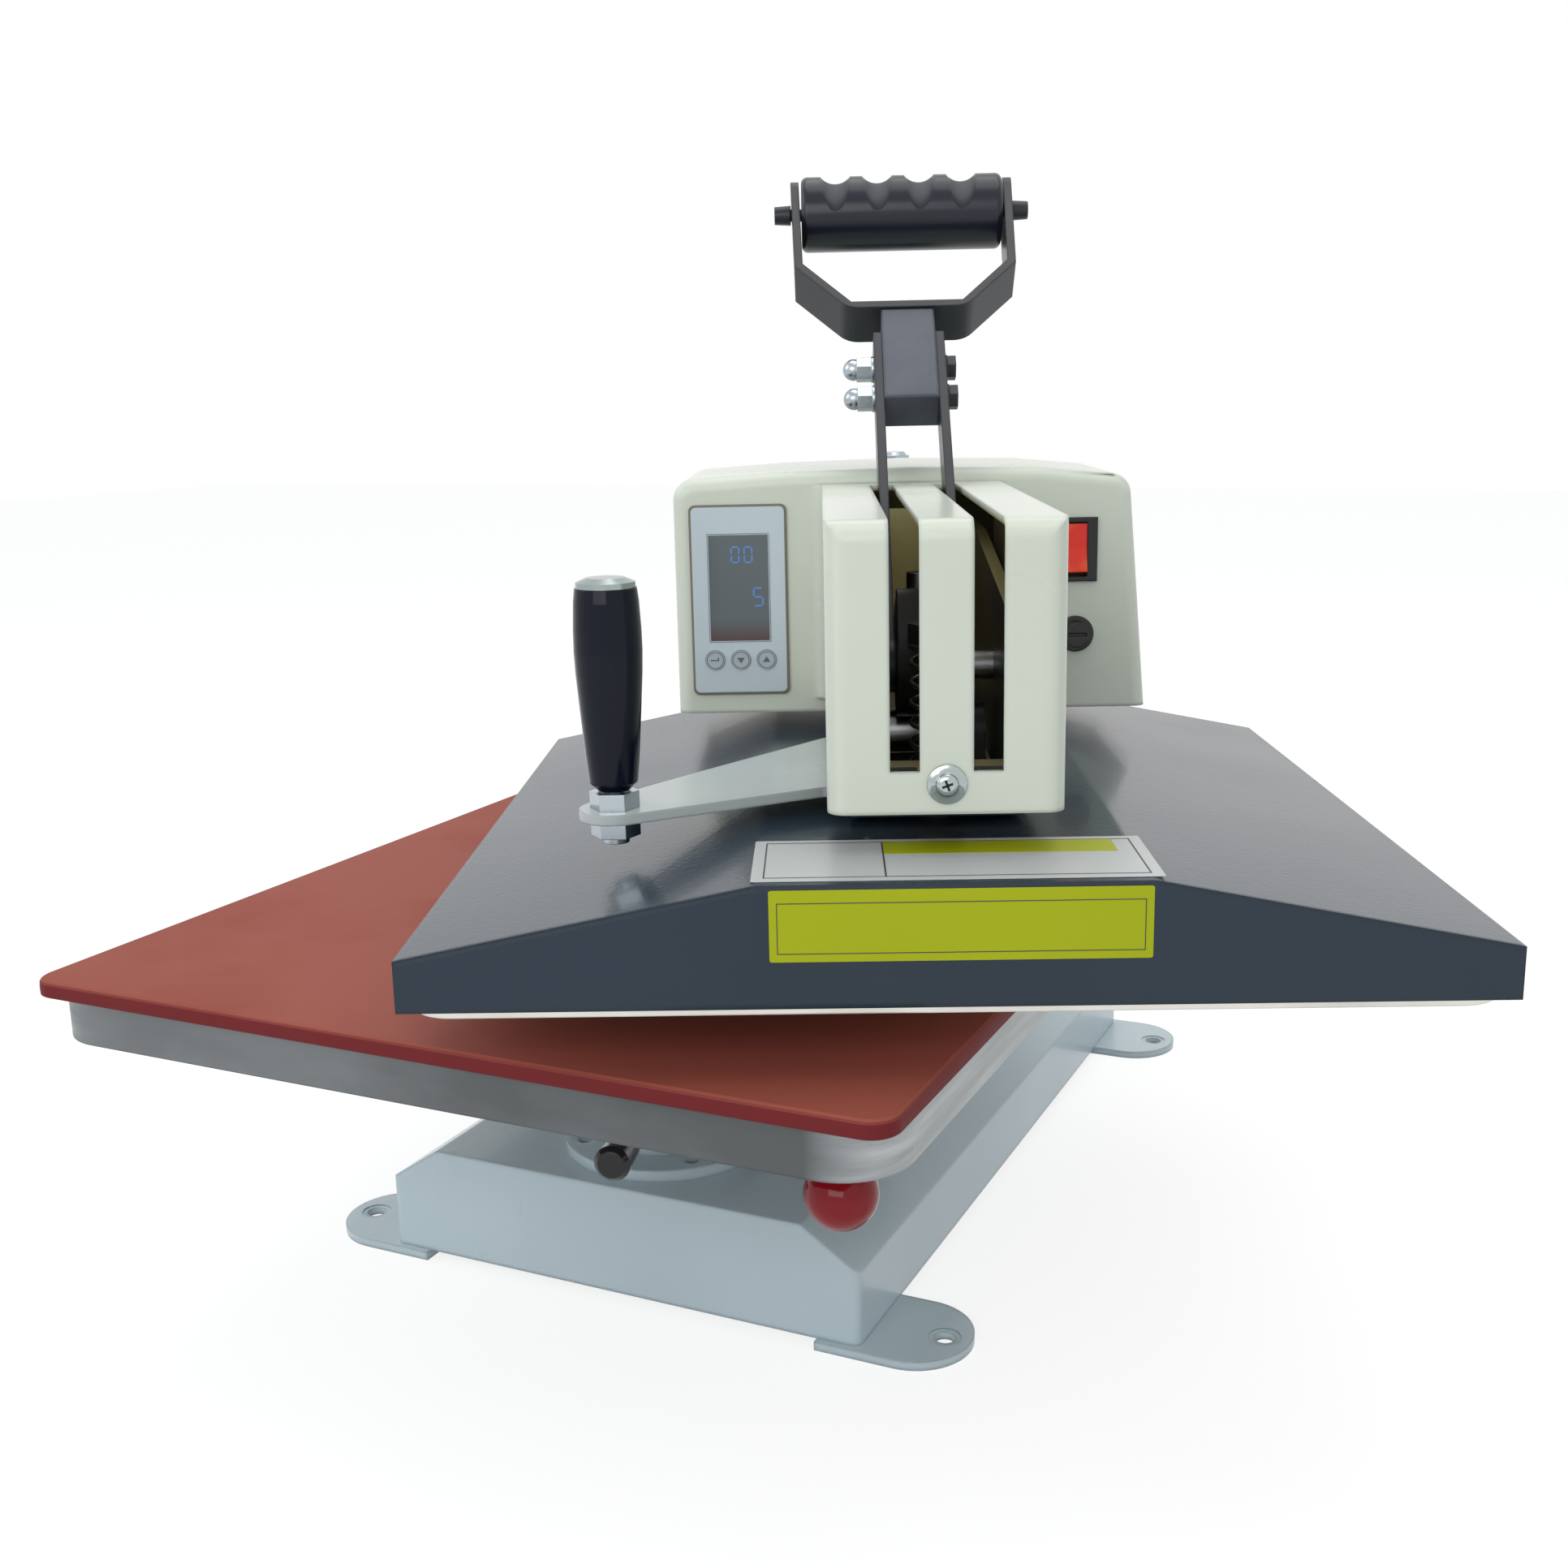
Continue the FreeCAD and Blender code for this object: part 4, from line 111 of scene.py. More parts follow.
def finish(name, colour, second, rough, metal=0.0, effect_group=None, scale=None,
           bump=0.05, depth=0.0002, coat=0.0, spread=0.08, specular=0.5, edge=0.0):
    """Principled material with a worked surface: two close colours mixed by the
    group's mask, roughness that follows it, a fine bump and soft corners."""
    made = bpy.data.materials.new(name)
    made.use_nodes = True
    tree = made.node_tree
    shader = tree.nodes["Principled BSDF"]
    surface = tree.nodes.new("ShaderNodeGroup")
    surface.node_tree = effect_group or peel
    if scale:
        surface.inputs["Scale"].default_value = scale
    mask = surface.outputs[1]
    uneven = remap(tree, mask, 0, 1, rough - spread / 2, rough + spread / 2)
    tree.links.new(mix(tree, mask, colour, second), shader.inputs["Base Color"])
    tree.links.new(uneven, shader.inputs["Roughness"])
    relief = tree.nodes.new("ShaderNodeBump")
    relief.inputs["Strength"].default_value = bump
    relief.inputs["Distance"].default_value = depth
    tree.links.new(surface.outputs["Height"], relief.inputs["Height"])
    tree.links.new(relief.outputs["Normal"], shader.inputs["Normal"])
    if edge:
        corner = tree.nodes.new("ShaderNodeBevel")
        corner.samples = 4
        corner.inputs["Radius"].default_value = edge
        tree.links.new(corner.outputs["Normal"], relief.inputs["Normal"])
    shader.inputs["Metallic"].default_value = metal
    shader.inputs["Coat Weight"].default_value = coat
    shader.inputs["Coat Roughness"].default_value = 0.06
    shader.inputs["Specular IOR Level"].default_value = specular
    return made


def dress(material, *names):
    """Gives nodes of the frame a finish."""
    for name in names:
        for slot in nodes[name].material_slots:
            slot.material = material


base_paint = finish("base_paint", (0.51, 0.61, 0.65), (0.475, 0.57, 0.61), 0.30,
                    bump=0.16, coat=0.2, specular=0.4, edge=0.0035)
dress(base_paint, "base_frame", "mounting_ears")

# Swing post: a turned steel column between painted flanges, held down by
# zinc-plated bolts; two pins stop the head's swing.
brush, brush_in, brush_out = effect("brushed_lines", [("Scale", 300.0)], ["Height", "Smear"])
along_lines = (1, 1, 0.03)
brushed = noise(brush, brush_in.outputs["Scale"], 4.0, along_lines)
brush.links.new(brushed, brush_out.inputs["Height"])
brush.links.new(remap(brush, noise(brush, 24.0, 4.0), 0.35, 0.65), brush_out.inputs["Smear"])

grit, grit_in, grit_out = effect("fine_grit", [("Scale", 900.0)], ["Height", "Dust"])
grit.links.new(noise(grit, grit_in.outputs["Scale"], 6.0), grit_out.inputs["Height"])
grit.links.new(remap(grit, noise(grit, 14.0, 5.0), 0.45, 0.75), grit_out.inputs["Dust"])

turned_steel = finish("turned_steel", (0.50, 0.50, 0.51), (0.42, 0.42, 0.43), 0.28, 1.0, brush,
                      bump=0.12, edge=0.0006)
zinc = finish("zinc_plate", (0.44, 0.49, 0.53), (0.34, 0.38, 0.42), 0.26, 1.0, grit,
              bump=0.04, edge=0.0005)
dress(base_paint, "swing_post")
dress(turned_steel, "stop_pins")
dress(zinc, "post_bolts", "post_bolt", "post_cap")

# Platen socket: a painted steel tube in which the lower platen's threaded
# spindle stands. A collar with a rod and a red ball sets the height.
dress(base_paint, "platen_socket")
dress(turned_steel, "platen_spindle", "collar_rod", "height_collar")
red_gloss = finish("red_gloss", (0.27, 0.007, 0.012), (0.25, 0.005, 0.010), 0.10,
                   coat=0.1, bump=0.02, specular=0.2)
dress(red_gloss, "ball_knob")


# Thread of the spindle: a rolled thread whose crests stand a little proud of
# the bar between the collar and the flange; rings one pitch apart show it.
def baked(name, tree, material, body, settings):
    """Runs a geometry tree, keeps its result as a plain mesh and lets it ride."""
    carrier = bpy.data.objects.new(name + "_points", bpy.data.meshes.new(name + "_points"))
    bpy.context.scene.collection.objects.link(carrier)
    work = carrier.modifiers.new("repeat", "NODES")
    work.node_group = tree
    for item in tree.interface.items_tree:
        if item.in_out == "INPUT" and item.name in settings:
            work[item.identifier] = settings[item.name]
        if item.in_out == "INPUT" and item.name == "Material":
            work[item.identifier] = material
    seen = carrier.evaluated_get(bpy.context.evaluated_depsgraph_get())
    mesh = bpy.data.meshes.new_from_object(seen)
    mesh.name = name
    carrier.modifiers.remove(work)
    bpy.data.objects.remove(carrier)
    made = bpy.data.objects.new(name, mesh)
    bpy.context.scene.collection.objects.link(made)
    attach(made, body)
    return made


def geometry_tree(name, inputs):
    """Empty geometry tree with named inputs; returns it with its two ends."""
    tree = bpy.data.node_groups.new(name, "GeometryNodeTree")
    tree.interface.new_socket("Geometry", in_out="INPUT", socket_type="NodeSocketGeometry")
    for title, kind in inputs:
        tree.interface.new_socket(title, in_out="INPUT", socket_type="NodeSocket" + kind)
    tree.interface.new_socket("Material", in_out="INPUT", socket_type="NodeSocketMaterial")
    tree.interface.new_socket("Geometry", in_out="OUTPUT", socket_type="NodeSocketGeometry")
    return tree, tree.nodes.new("NodeGroupInput"), tree.nodes.new("NodeGroupOutput")


def swept_ring(tree, radius, thickness, sides):
    """Ring of a bar with four sides, from the tree's sockets for its two radii."""
    hoop = tree.nodes.new("GeometryNodeCurvePrimitiveCircle")
    hoop.inputs["Resolution"].default_value = sides
    tree.links.new(radius, hoop.inputs["Radius"])
    stroke = tree.nodes.new("GeometryNodeCurvePrimitiveCircle")
    stroke.inputs["Resolution"].default_value = 4
    tree.links.new(thickness, stroke.inputs["Radius"])
    swept = tree.nodes.new("GeometryNodeCurveToMesh")
    tree.links.new(hoop.outputs["Curve"], swept.inputs["Curve"])
    tree.links.new(stroke.outputs["Curve"], swept.inputs["Profile Curve"])
    return swept.outputs["Mesh"]


def in_a_row(tree, points, shape, count, start, step):
    """Copies of a shape on points in a line; returns the node that places them."""
    if isinstance(count, int):
        points.inputs["Count"].default_value = count
    else:
        tree.links.new(count, points.inputs["Count"])
    tree.links.new(start, points.inputs["Start Location"])
    tree.links.new(step, points.inputs["Offset"])
    copies = tree.nodes.new("GeometryNodeInstanceOnPoints")
    tree.links.new(points.outputs["Mesh"], copies.inputs["Points"])
    tree.links.new(shape, copies.inputs["Instance"])
    return copies


def close_tree(tree, ins, outs, geometry):
    """Ends a tree: real copies, one material."""
    real = tree.nodes.new("GeometryNodeRealizeInstances")
    coat = tree.nodes.new("GeometryNodeSetMaterial")
    tree.links.new(geometry, real.inputs[0])
    tree.links.new(real.outputs[0], coat.inputs["Geometry"])
    tree.links.new(ins.outputs["Material"], coat.inputs["Material"])
    tree.links.new(coat.outputs[0], outs.inputs[0])


crests, crests_in, crests_out = geometry_tree(
    "thread_crests", [("Turns", "Int"), ("Start", "Vector"), ("Pitch", "Vector"),
                      ("Radius", "Float"), ("Crest", "Float")])
line = crests.nodes.new("GeometryNodeMeshLine")
one_crest = swept_ring(crests, crests_in.outputs["Radius"], crests_in.outputs["Crest"], 48)
stack = in_a_row(crests, line, one_crest, crests_in.outputs["Turns"],
                 crests_in.outputs["Start"], crests_in.outputs["Pitch"])
close_tree(crests, crests_in, crests_out, stack.outputs[0])
low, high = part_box("platen_spindle")
lowest_crest, thread_pitch = 0.1172, 0.0015
baked("spindle_thread", crests, turned_steel, "lower_platen",
      {"Turns": 9, "Start": ((low[0] + high[0]) / 2, (low[1] + high[1]) / 2, lowest_crest),
       "Pitch": (0.0, 0.0, thread_pitch), "Radius": 0.0119, "Crest": 0.0005})

# Lock knob: a tapered black moulding on a steel screw that pinches the
# spindle in its socket.
black_gloss = finish("black_gloss", (0.010, 0.010, 0.012), (0.014, 0.014, 0.016), 0.16,
                     coat=0.15, bump=0.03, specular=0.3, edge=0.0012)
dress(black_gloss, "lock_handle")
dress(turned_steel, "lock_screw")

# Lower tray: a shallow aluminium casting, mottled as cast, screwed to the spindle's flange. Its
# left end is painted paler where the light falls, and its right end is painted bright as a
# highlight on the corner.
tray_metal = bpy.data.materials.new("tray_metal")
tray_metal.use_nodes = True
tree = tray_metal.node_tree
shader = tree.nodes["Principled BSDF"]
cloud = noise(tree, 10.0, 5.0, (1, 1, 2.5))
streak = noise(tree, 60.0, 4.0, (0.25, 0.25, 3))
place = tree.nodes.new("ShaderNodeTexCoord")
split = tree.nodes.new("ShaderNodeSeparateXYZ")
tree.links.new(place.outputs["Object"], split.inputs[0])
# Painted highlight: towards its right end the tray is painted bright, where its corner catches
# the light.
corner_highlight = remap(tree, split.outputs["X"], 0.158, 0.180)
# Painted light: the left end is painted paler, where the light from the left falls on it.
lit_left_end = remap(tree, split.outputs["X"], -0.16, 0.05, 1.0, 0.0)
dull = mix(tree, remap(tree, cloud, 0.38, 0.72), (0.085, 0.092, 0.095), (0.15, 0.16, 0.165))
lit_pale = mix(tree, remap(tree, cloud, 0.38, 0.72), (0.15, 0.16, 0.165), (0.24, 0.255, 0.26))
cast_with_lit_left = mix(tree, lit_left_end, dull, lit_pale)
highlight_cast = mix(tree, remap(tree, streak, 0.35, 0.68), (0.29, 0.305, 0.31), (0.52, 0.54, 0.55))
tree.links.new(mix(tree, corner_highlight, cast_with_lit_left, highlight_cast), shader.inputs["Base Color"])
tree.links.new(remap(tree, streak, 0.3, 0.7, 0.28, 0.52), shader.inputs["Roughness"])
corner = tree.nodes.new("ShaderNodeBevel")
corner.samples = 4
corner.inputs["Radius"].default_value = 0.0015
relief = tree.nodes.new("ShaderNodeBump")
relief.inputs["Strength"].default_value = 0.22
relief.inputs["Distance"].default_value = 0.0006
tree.links.new(streak, relief.inputs["Height"])
tree.links.new(corner.outputs["Normal"], relief.inputs["Normal"])
tree.links.new(relief.outputs["Normal"], shader.inputs["Normal"])
shader.inputs["Metallic"].default_value = 0.35
dress(tray_metal, "lower_tray")
black_oxide = finish("black_oxide", (0.022, 0.022, 0.025), (0.045, 0.043, 0.042), 0.42, 0.6, grit,
                     bump=0.08, edge=0.0005)
dress(black_oxide, "tray_screws")


# Pad: a sheet of red-brown silicone sponge, cut a little larger than the tray and glued on it.
# Its upright cut edge is painted darker than its face, as the shade there.
def rounded_plate(half_x, half_y, corner, layers, arc=6):
    """Maker of a flat piece with round corners. Layers are pairs of height and
    inset from the outline, from the lowest to the highest."""
    def make(work):
        rings = []
        for height, inset in layers:
            ring = []
            radius = max(corner - inset, 0.0001)
            for quarter, (sx, sy) in enumerate(((1, 1), (-1, 1), (-1, -1), (1, -1))):
                centre = Vector((sx * (half_x - corner), sy * (half_y - corner), height))
                for step in range(arc + 1):
                    angle = math.radians(90) * (quarter + step / arc)
                    outward = Vector((math.cos(angle), math.sin(angle), 0))
                    ring.append(work.verts.new(centre + outward * radius))
            rings.append(ring)
        close_rings(work, rings)
    return make


def close_rings(work, rings):
    """Faces between rings of points, and one across each end."""
    for lower, upper in zip(rings, rings[1:]):
        for i in range(len(lower)):
            j = (i + 1) % len(lower)
            work.faces.new((lower[i], lower[j], upper[j], upper[i]))
    work.faces.new(list(reversed(rings[0])))
    work.faces.new(rings[-1])


def piece_from(mesh_maker, name, material, body, turn):
    """New piece from a bmesh function, placed in the mesh and riding on a body."""
    work = bmesh.new()
    mesh_maker(work)
    bmesh.ops.transform(work, matrix=turn, verts=work.verts)
    bmesh.ops.recalc_face_normals(work, faces=work.faces)
    mesh = bpy.data.meshes.new(name)
    work.to_mesh(mesh)
    work.free()
    mesh.materials.append(material)
    made = bpy.data.objects.new(name, mesh)
    bpy.context.scene.collection.objects.link(made)
    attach(made, body)
    return made


def upright_mask(tree):
    """Mask that is 1 on faces that look up and 0 on the sides of a piece."""
    place = tree.nodes.new("ShaderNodeTexCoord")
    split = tree.nodes.new("ShaderNodeSeparateXYZ")
    tree.links.new(place.outputs["Normal"], split.inputs[0])
    return remap(tree, split.outputs["Z"], 0.35, 0.8)


def over_base(material, mask, colour, mask_shows_colour=True):
    """Lays a second colour over a finish where the mask says so."""
    tree = material.node_tree
    shader = tree.nodes["Principled BSDF"]
    under = shader.inputs["Base Color"].links[0].from_socket
    pair = (under, colour) if mask_shows_colour else (colour, under)
    tree.links.new(mix(tree, mask, *pair), shader.inputs["Base Color"])


silicone = finish("silicone", (0.285, 0.072, 0.050), (0.255, 0.060, 0.041), 0.62,
                  effect_group=grit, scale=1400, bump=0.10, depth=0.0003, specular=0.15)
# Painted shade: the upright sides of the pad are painted darker, the shade on its cut edge.
shaded_side_colour = (0.150, 0.016, 0.018)
over_base(silicone, upright_mask(silicone.node_tree), shaded_side_colour, mask_shows_colour=False)
pad_half, pad_corner, platen_middle = 0.190, 0.011, (0, -0.156, 0)
pad_layers = [(0.16545, 0.0007), (0.1659, 0.0001), (0.1686, 0.0),
              (0.1710, 0.0002), (0.1718, 0.0007), (0.1724, 0.0018)]
pad = piece_from(rounded_plate(pad_half, pad_half, pad_corner, pad_layers, arc=10),
                 "pad_sheet", silicone, "lower_platen",
                 Matrix.Translation(platen_middle))
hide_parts("silicone_pad")

# Head arm: a channel of bent steel sheet on two bronze bushes round the post, painted beige;
# inside the nose of the cover its sides are painted near black as the shade there.
# The head is swung out about the post; its pieces are drawn straight, with
# the front towards -Y, and turned by this matrix.
post = Vector((0, 0.138, 0))
swing_angle = math.radians(24)
turn_about_z = Matrix.Rotation(swing_angle, 4, "Z")
swing = Matrix.Translation(post) @ turn_about_z @ Matrix.Translation(-post)


def arithmetic(tree, operation, first, second=None):
    """Math node; each input is a number or a socket."""
    step = tree.nodes.new("ShaderNodeMath")
    step.operation = operation
    for slot, value in enumerate((first, second)):
        if isinstance(value, (int, float)):
            step.inputs[slot].default_value = value
        elif value is not None:
            tree.links.new(value, step.inputs[slot])
    return step.outputs[0]


def turned_place(tree, centre):
    """Object coordinates seen from a centre, straightened to the head's own axes."""
    place = tree.nodes.new("ShaderNodeTexCoord")
    turned = tree.nodes.new("ShaderNodeMapping")
    turned.vector_type = "TEXTURE"
    turned.inputs["Location"].default_value = centre
    turned.inputs["Rotation"].default_value = (0, 0, swing_angle)
    tree.links.new(place.outputs["Object"], turned.inputs["Vector"])
    return turned.outputs["Vector"]


inside, inside_in, inside_out = effect(
    "inside_nose", [("Half Width", 0.0396), ("Top", 0.3561), ("Front", 0.445), ("Back", 0.20)],
    ["Mask"])
split = inside.nodes.new("ShaderNodeSeparateXYZ")
inside.links.new(turned_place(inside, post), split.inputs[0])
off_middle = arithmetic(inside, "ABSOLUTE", split.outputs["X"])
beside = arithmetic(inside, "SUBTRACT", inside_in.outputs["Half Width"], off_middle)
under = arithmetic(inside, "SUBTRACT", inside_in.outputs["Top"], split.outputs["Z"])
ahead = arithmetic(inside, "ADD", inside_in.outputs["Front"], split.outputs["Y"])
forward_reach = arithmetic(inside, "MULTIPLY", split.outputs["Y"], -1.0)
behind = arithmetic(inside, "SUBTRACT", forward_reach, inside_in.outputs["Back"])
depth = arithmetic(inside, "MINIMUM", arithmetic(inside, "MINIMUM", beside, under),
                   arithmetic(inside, "MINIMUM", ahead, behind))
inside.links.new(remap(inside, depth, 0.0, 0.0004), inside_out.inputs["Mask"])


def inner_mask(tree, half_width=None):
    """Mask of what lies inside the nose of the head cover."""
    node = tree.nodes.new("ShaderNodeGroup")
    node.node_tree = inside
    if half_width:
        node.inputs["Half Width"].default_value = half_width
    return node.outputs["Mask"]


arm_paint = finish("arm_paint", (0.47, 0.42, 0.22), (0.42, 0.37, 0.19), 0.42, bump=0.08,
                   edge=0.0008)
tree = arm_paint.node_tree
beige = tree.nodes["Principled BSDF"].inputs["Base Color"].links[0].from_socket
# Painted shade: inside the nose the arm's side faces are painted near black; its top edges keep
# the beige.
shaded_side_inside = mix(tree, upright_mask(tree), (0.045, 0.046, 0.048), beige)
over_base(arm_paint, inner_mask(tree, half_width=0.041), shaded_side_inside)
dress(arm_paint, "head_arm")
bronze = finish("bronze", (0.50, 0.32, 0.12), (0.40, 0.24, 0.09), 0.38, 1.0, grit)
dress(bronze, "sleeve_bushes")

# Press slide: a cam on the lever's pin pushes a roller fork, whose carrier
# plate runs on two guide rods and is drawn back up by coil springs.
dress(bronze, "guide_bushes")
dress(turned_steel, "lever_pin", "guide_rods", "roller_pin", "cam_roller")
dress(black_oxide, "lever_cam", "roller_fork", "carrier_plate", "slide_bolts")
dress(zinc, "guide_nuts", "hood_posts")

# Return springs: two coils of hard-drawn wire round the guide rods, between
# the bushes and the nuts; they shorten as the platen is pressed down.
spring_steel = finish("spring_steel", (0.55, 0.55, 0.56), (0.36, 0.36, 0.37), 0.25, 1.0, brush)
coils, coils_in, coils_out = geometry_tree(
    "coil_springs", [("Turns", "Float"), ("Height", "Float"), ("Radius", "Float"),
                     ("Wire", "Float"), ("First", "Vector"), ("Step", "Vector")])
pair = coils.nodes.new("GeometryNodeMeshLine")
helix = coils.nodes.new("GeometryNodeCurveSpiral")
helix.inputs["Resolution"].default_value = 28
coils.links.new(coils_in.outputs["Turns"], helix.inputs["Rotations"])
coils.links.new(coils_in.outputs["Height"], helix.inputs["Height"])
coils.links.new(coils_in.outputs["Radius"], helix.inputs["Start Radius"])
coils.links.new(coils_in.outputs["Radius"], helix.inputs["End Radius"])
wire = coils.nodes.new("GeometryNodeCurvePrimitiveCircle")
wire.inputs["Resolution"].default_value = 10
coils.links.new(coils_in.outputs["Wire"], wire.inputs["Radius"])
drawn = coils.nodes.new("GeometryNodeCurveToMesh")
drawn.inputs["Fill Caps"].default_value = True
coils.links.new(helix.outputs["Curve"], drawn.inputs["Curve"])
coils.links.new(wire.outputs["Curve"], drawn.inputs["Profile Curve"])
both = in_a_row(coils, pair, drawn.outputs["Mesh"], 2, coils_in.outputs["First"],
                coils_in.outputs["Step"])
close_tree(coils, coils_in, coils_out, both.outputs[0])
low, high = (Vector(corner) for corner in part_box("return_springs"))
wire_half, coil_radius, coil_turns, stroke_length = 0.001, 0.0085, 6.0, 0.0215
spring_long = high.z - low.z
head_front = Vector((math.sin(swing_angle), -math.cos(swing_angle), 0))
reach_out = ((high - low).y / 2 - coil_radius - wire_half) / math.cos(swing_angle)
first = Vector(((low.x + high.x) / 2, (low.y + high.y) / 2, low.z + wire_half))
first = first + head_front * reach_out
springs = baked("return_coils", coils, spring_steel, "head",
                {"Turns": coil_turns, "Height": spring_long - 2 * wire_half,
                 "Radius": coil_radius, "Wire": wire_half, "First": tuple(first),
                 "Step": tuple(head_front * (-2 * reach_out))})
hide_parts("return_springs")
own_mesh(springs)

# Heating platen: aluminium milled flat below, with a bent tube heater pressed
# into grooves of its back and a woven glass blanket over it.
milled = finish("milled_aluminium", (0.72, 0.71, 0.66), (0.62, 0.61, 0.56), 0.34, 1.0, brush,
                bump=0.08, edge=0.0008)
heat_tint = finish("heat_tint", (0.24, 0.20, 0.17), (0.16, 0.15, 0.17), 0.35, 1.0, grit)
weave, weave_in, weave_out = effect("plain_weave", [("Threads", 900.0)], ["Height", "Yarn"])
place = weave.nodes.new("ShaderNodeTexCoord")
split = weave.nodes.new("ShaderNodeSeparateXYZ")
weave.links.new(place.outputs["Object"], split.inputs[0])
waves = []
for axis in ("X", "Y"):
    phase = arithmetic(weave, "MULTIPLY", split.outputs[axis], weave_in.outputs["Threads"])
    waves.append(arithmetic(weave, "SINE", phase))
over = arithmetic(weave, "MULTIPLY", *waves)
weave.links.new(over, weave_out.inputs["Height"])
weave.links.new(remap(weave, over, -1, 1), weave_out.inputs["Yarn"])
blanket = finish("glass_blanket", (0.50, 0.48, 0.42), (0.68, 0.66, 0.60), 0.9,
                 effect_group=weave, bump=0.5, depth=0.0006, spread=0.05)
dress(milled, "heating_plate")
dress(heat_tint, "heating_tube")
dress(blanket, "heat_blanket")

# Hood: sheet steel folded over the heating platen, in dark blue-grey gloss
# with a fine peel; four screws hold it on hexagonal posts.
hood_paint = finish("hood_paint", (0.013, 0.026, 0.042), (0.017, 0.032, 0.050), 0.22,
                    bump=0.30, coat=0.15, scale=420, depth=0.0003, spread=0.05, specular=0.25,
                    edge=0.0036)
dress(hood_paint, "platen_hood")


# Two bare printed plates, a yellow one on the hood's front and a white one on
# its ridge: thin polyester with a thin printed frame and no lettering.
def strip(work, centre, length, wide):
    """One thin raised strip; centre is its place, length and wide its size."""
    matrix = Matrix.Translation(centre) @ Matrix.Diagonal((length, wide, 0.0001, 1))
    bmesh.ops.create_cube(work, size=1, matrix=matrix)


def frame_strips(work, middle, half_x, half_y, wide):
    """Four thin strips round a field."""
    x, y, up = middle
    strip(work, (x, y + half_y, up), 2 * half_x + wide, wide)
    strip(work, (x, y - half_y, up), 2 * half_x + wide, wide)
    strip(work, (x + half_x, y, up), wide, 2 * half_y - wide)
    strip(work, (x - half_x, y, up), wide, 2 * half_y - wide)


upright_front = Matrix.Rotation(math.radians(90), 4, "X")
yellow_print = finish("yellow_print", (0.38, 0.42, 0.005), (0.36, 0.40, 0.005), 0.34,
                      bump=0.03, specular=0.2)
white_print = finish("white_print", (0.50, 0.52, 0.515), (0.47, 0.49, 0.485), 0.30,
                     bump=0.03, specular=0.4)
printed_line = finish("printed_line", (0.035, 0.037, 0.035), (0.05, 0.052, 0.05), 0.5)
sheet_layers, sheet_corner, ink_up = [(0, 0), (0.0002, 0), (0.00025, 0.0001)], 0.0008, 0.0003

yellow_place = swing @ Matrix.Translation((0.002, -0.34605, 0.2279)) @ upright_front
yellow_half, yellow_frame_half, thin_line = (0.0635, 0.0124), (0.0608, 0.0087), 0.0003
piece_from(rounded_plate(*yellow_half, sheet_corner, sheet_layers, arc=3), "yellow_plate",
           yellow_print, "press", yellow_place)
piece_from(lambda work: frame_strips(work, (0, -0.0008, ink_up), *yellow_frame_half, thin_line),
           "yellow_plate_line", printed_line, "press", yellow_place)

white_place = swing @ Matrix.Translation((0.00125, -0.3155, 0.2421))
white_half, white_frame_half = (0.06875, 0.0265), (0.0645, 0.0225)
field_line_x, field_line_wide = -0.0235, 0.0006
piece_from(rounded_plate(*white_half, sheet_corner, sheet_layers, arc=3), "white_plate",
           white_print, "press", white_place)


def white_plate_lines(work):
    """Frame of the whole plate and the upright line between its two fields."""
    frame_strips(work, (0, 0, ink_up), *white_frame_half, 0.0005)
    strip(work, (field_line_x, 0, ink_up), field_line_wide, 2 * white_frame_half[1])


piece_from(white_plate_lines, "white_plate_lines", printed_line, "press", white_place)
band_place = white_place @ Matrix.Translation((0.0175, 0.0142, 0))
band_half, band_corner, band_layers = (0.0407, 0.0080), 0.0003, [(0.00025, 0), (0.00034, 0)]
piece_from(rounded_plate(*band_half, band_corner, band_layers, arc=2), "yellow_band",
           yellow_print, "press", band_place)

# Head cover: one ivory moulding, a nose over the arm and the control box behind it. Gloss
# outside; inside the nose it is painted khaki, the light that shines through the thin ivory shell
# into the dim nose.
ivory = finish("ivory", (0.64, 0.68, 0.585), (0.60, 0.64, 0.55), 0.26, bump=0.04, coat=0.15,
               scale=160, specular=0.35, edge=0.0028)
# Painted light: khaki inside the nose, for the light that shines through the ivory shell.
through_light_khaki = (0.72, 0.60, 0.24)
over_base(ivory, inner_mask(ivory.node_tree), through_light_khaki)
dress(ivory, "head_cover")


def lathe(profile, steps=28):
    """Maker of a turned piece from pairs of radius and height, lowest first."""
    def make(work):
        rings = []
        for radius, height in profile:
            ring = []
            for step in range(steps):
                angle = 2 * math.pi * step / steps
                place = (radius * math.cos(angle), radius * math.sin(angle), height)
                ring.append(work.verts.new(place))
            rings.append(ring)
        close_rings(work, rings)
    return make


# Nose screw: a bright pan-head screw with a plain washer, through the front of the nose into the
# arm's tongue; its cross recess is painted as dark shade.
bright = finish("bright_screw", (0.42, 0.48, 0.47), (0.30, 0.35, 0.34), 0.2, 1.0, grit, bump=0.05)
washer_profile = [(0.0062, 0.0), (0.0070, 0.0002), (0.0070, 0.0010), (0.0067, 0.0012)]
head_profile = [(0.0041, 0.0012), (0.00405, 0.0020), (0.0035, 0.0027), (0.0026, 0.0031),
                (0.0019, 0.0032)]
screw_place = swing @ Matrix.Translation((0, -0.31, 0.2673)) @ upright_front
screw = piece_from(lathe(washer_profile + head_profile), "nose_screw", bright, "head",
                   screw_place)
for face in screw.data.polygons:
    face.use_smooth = True
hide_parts("cover_screw")


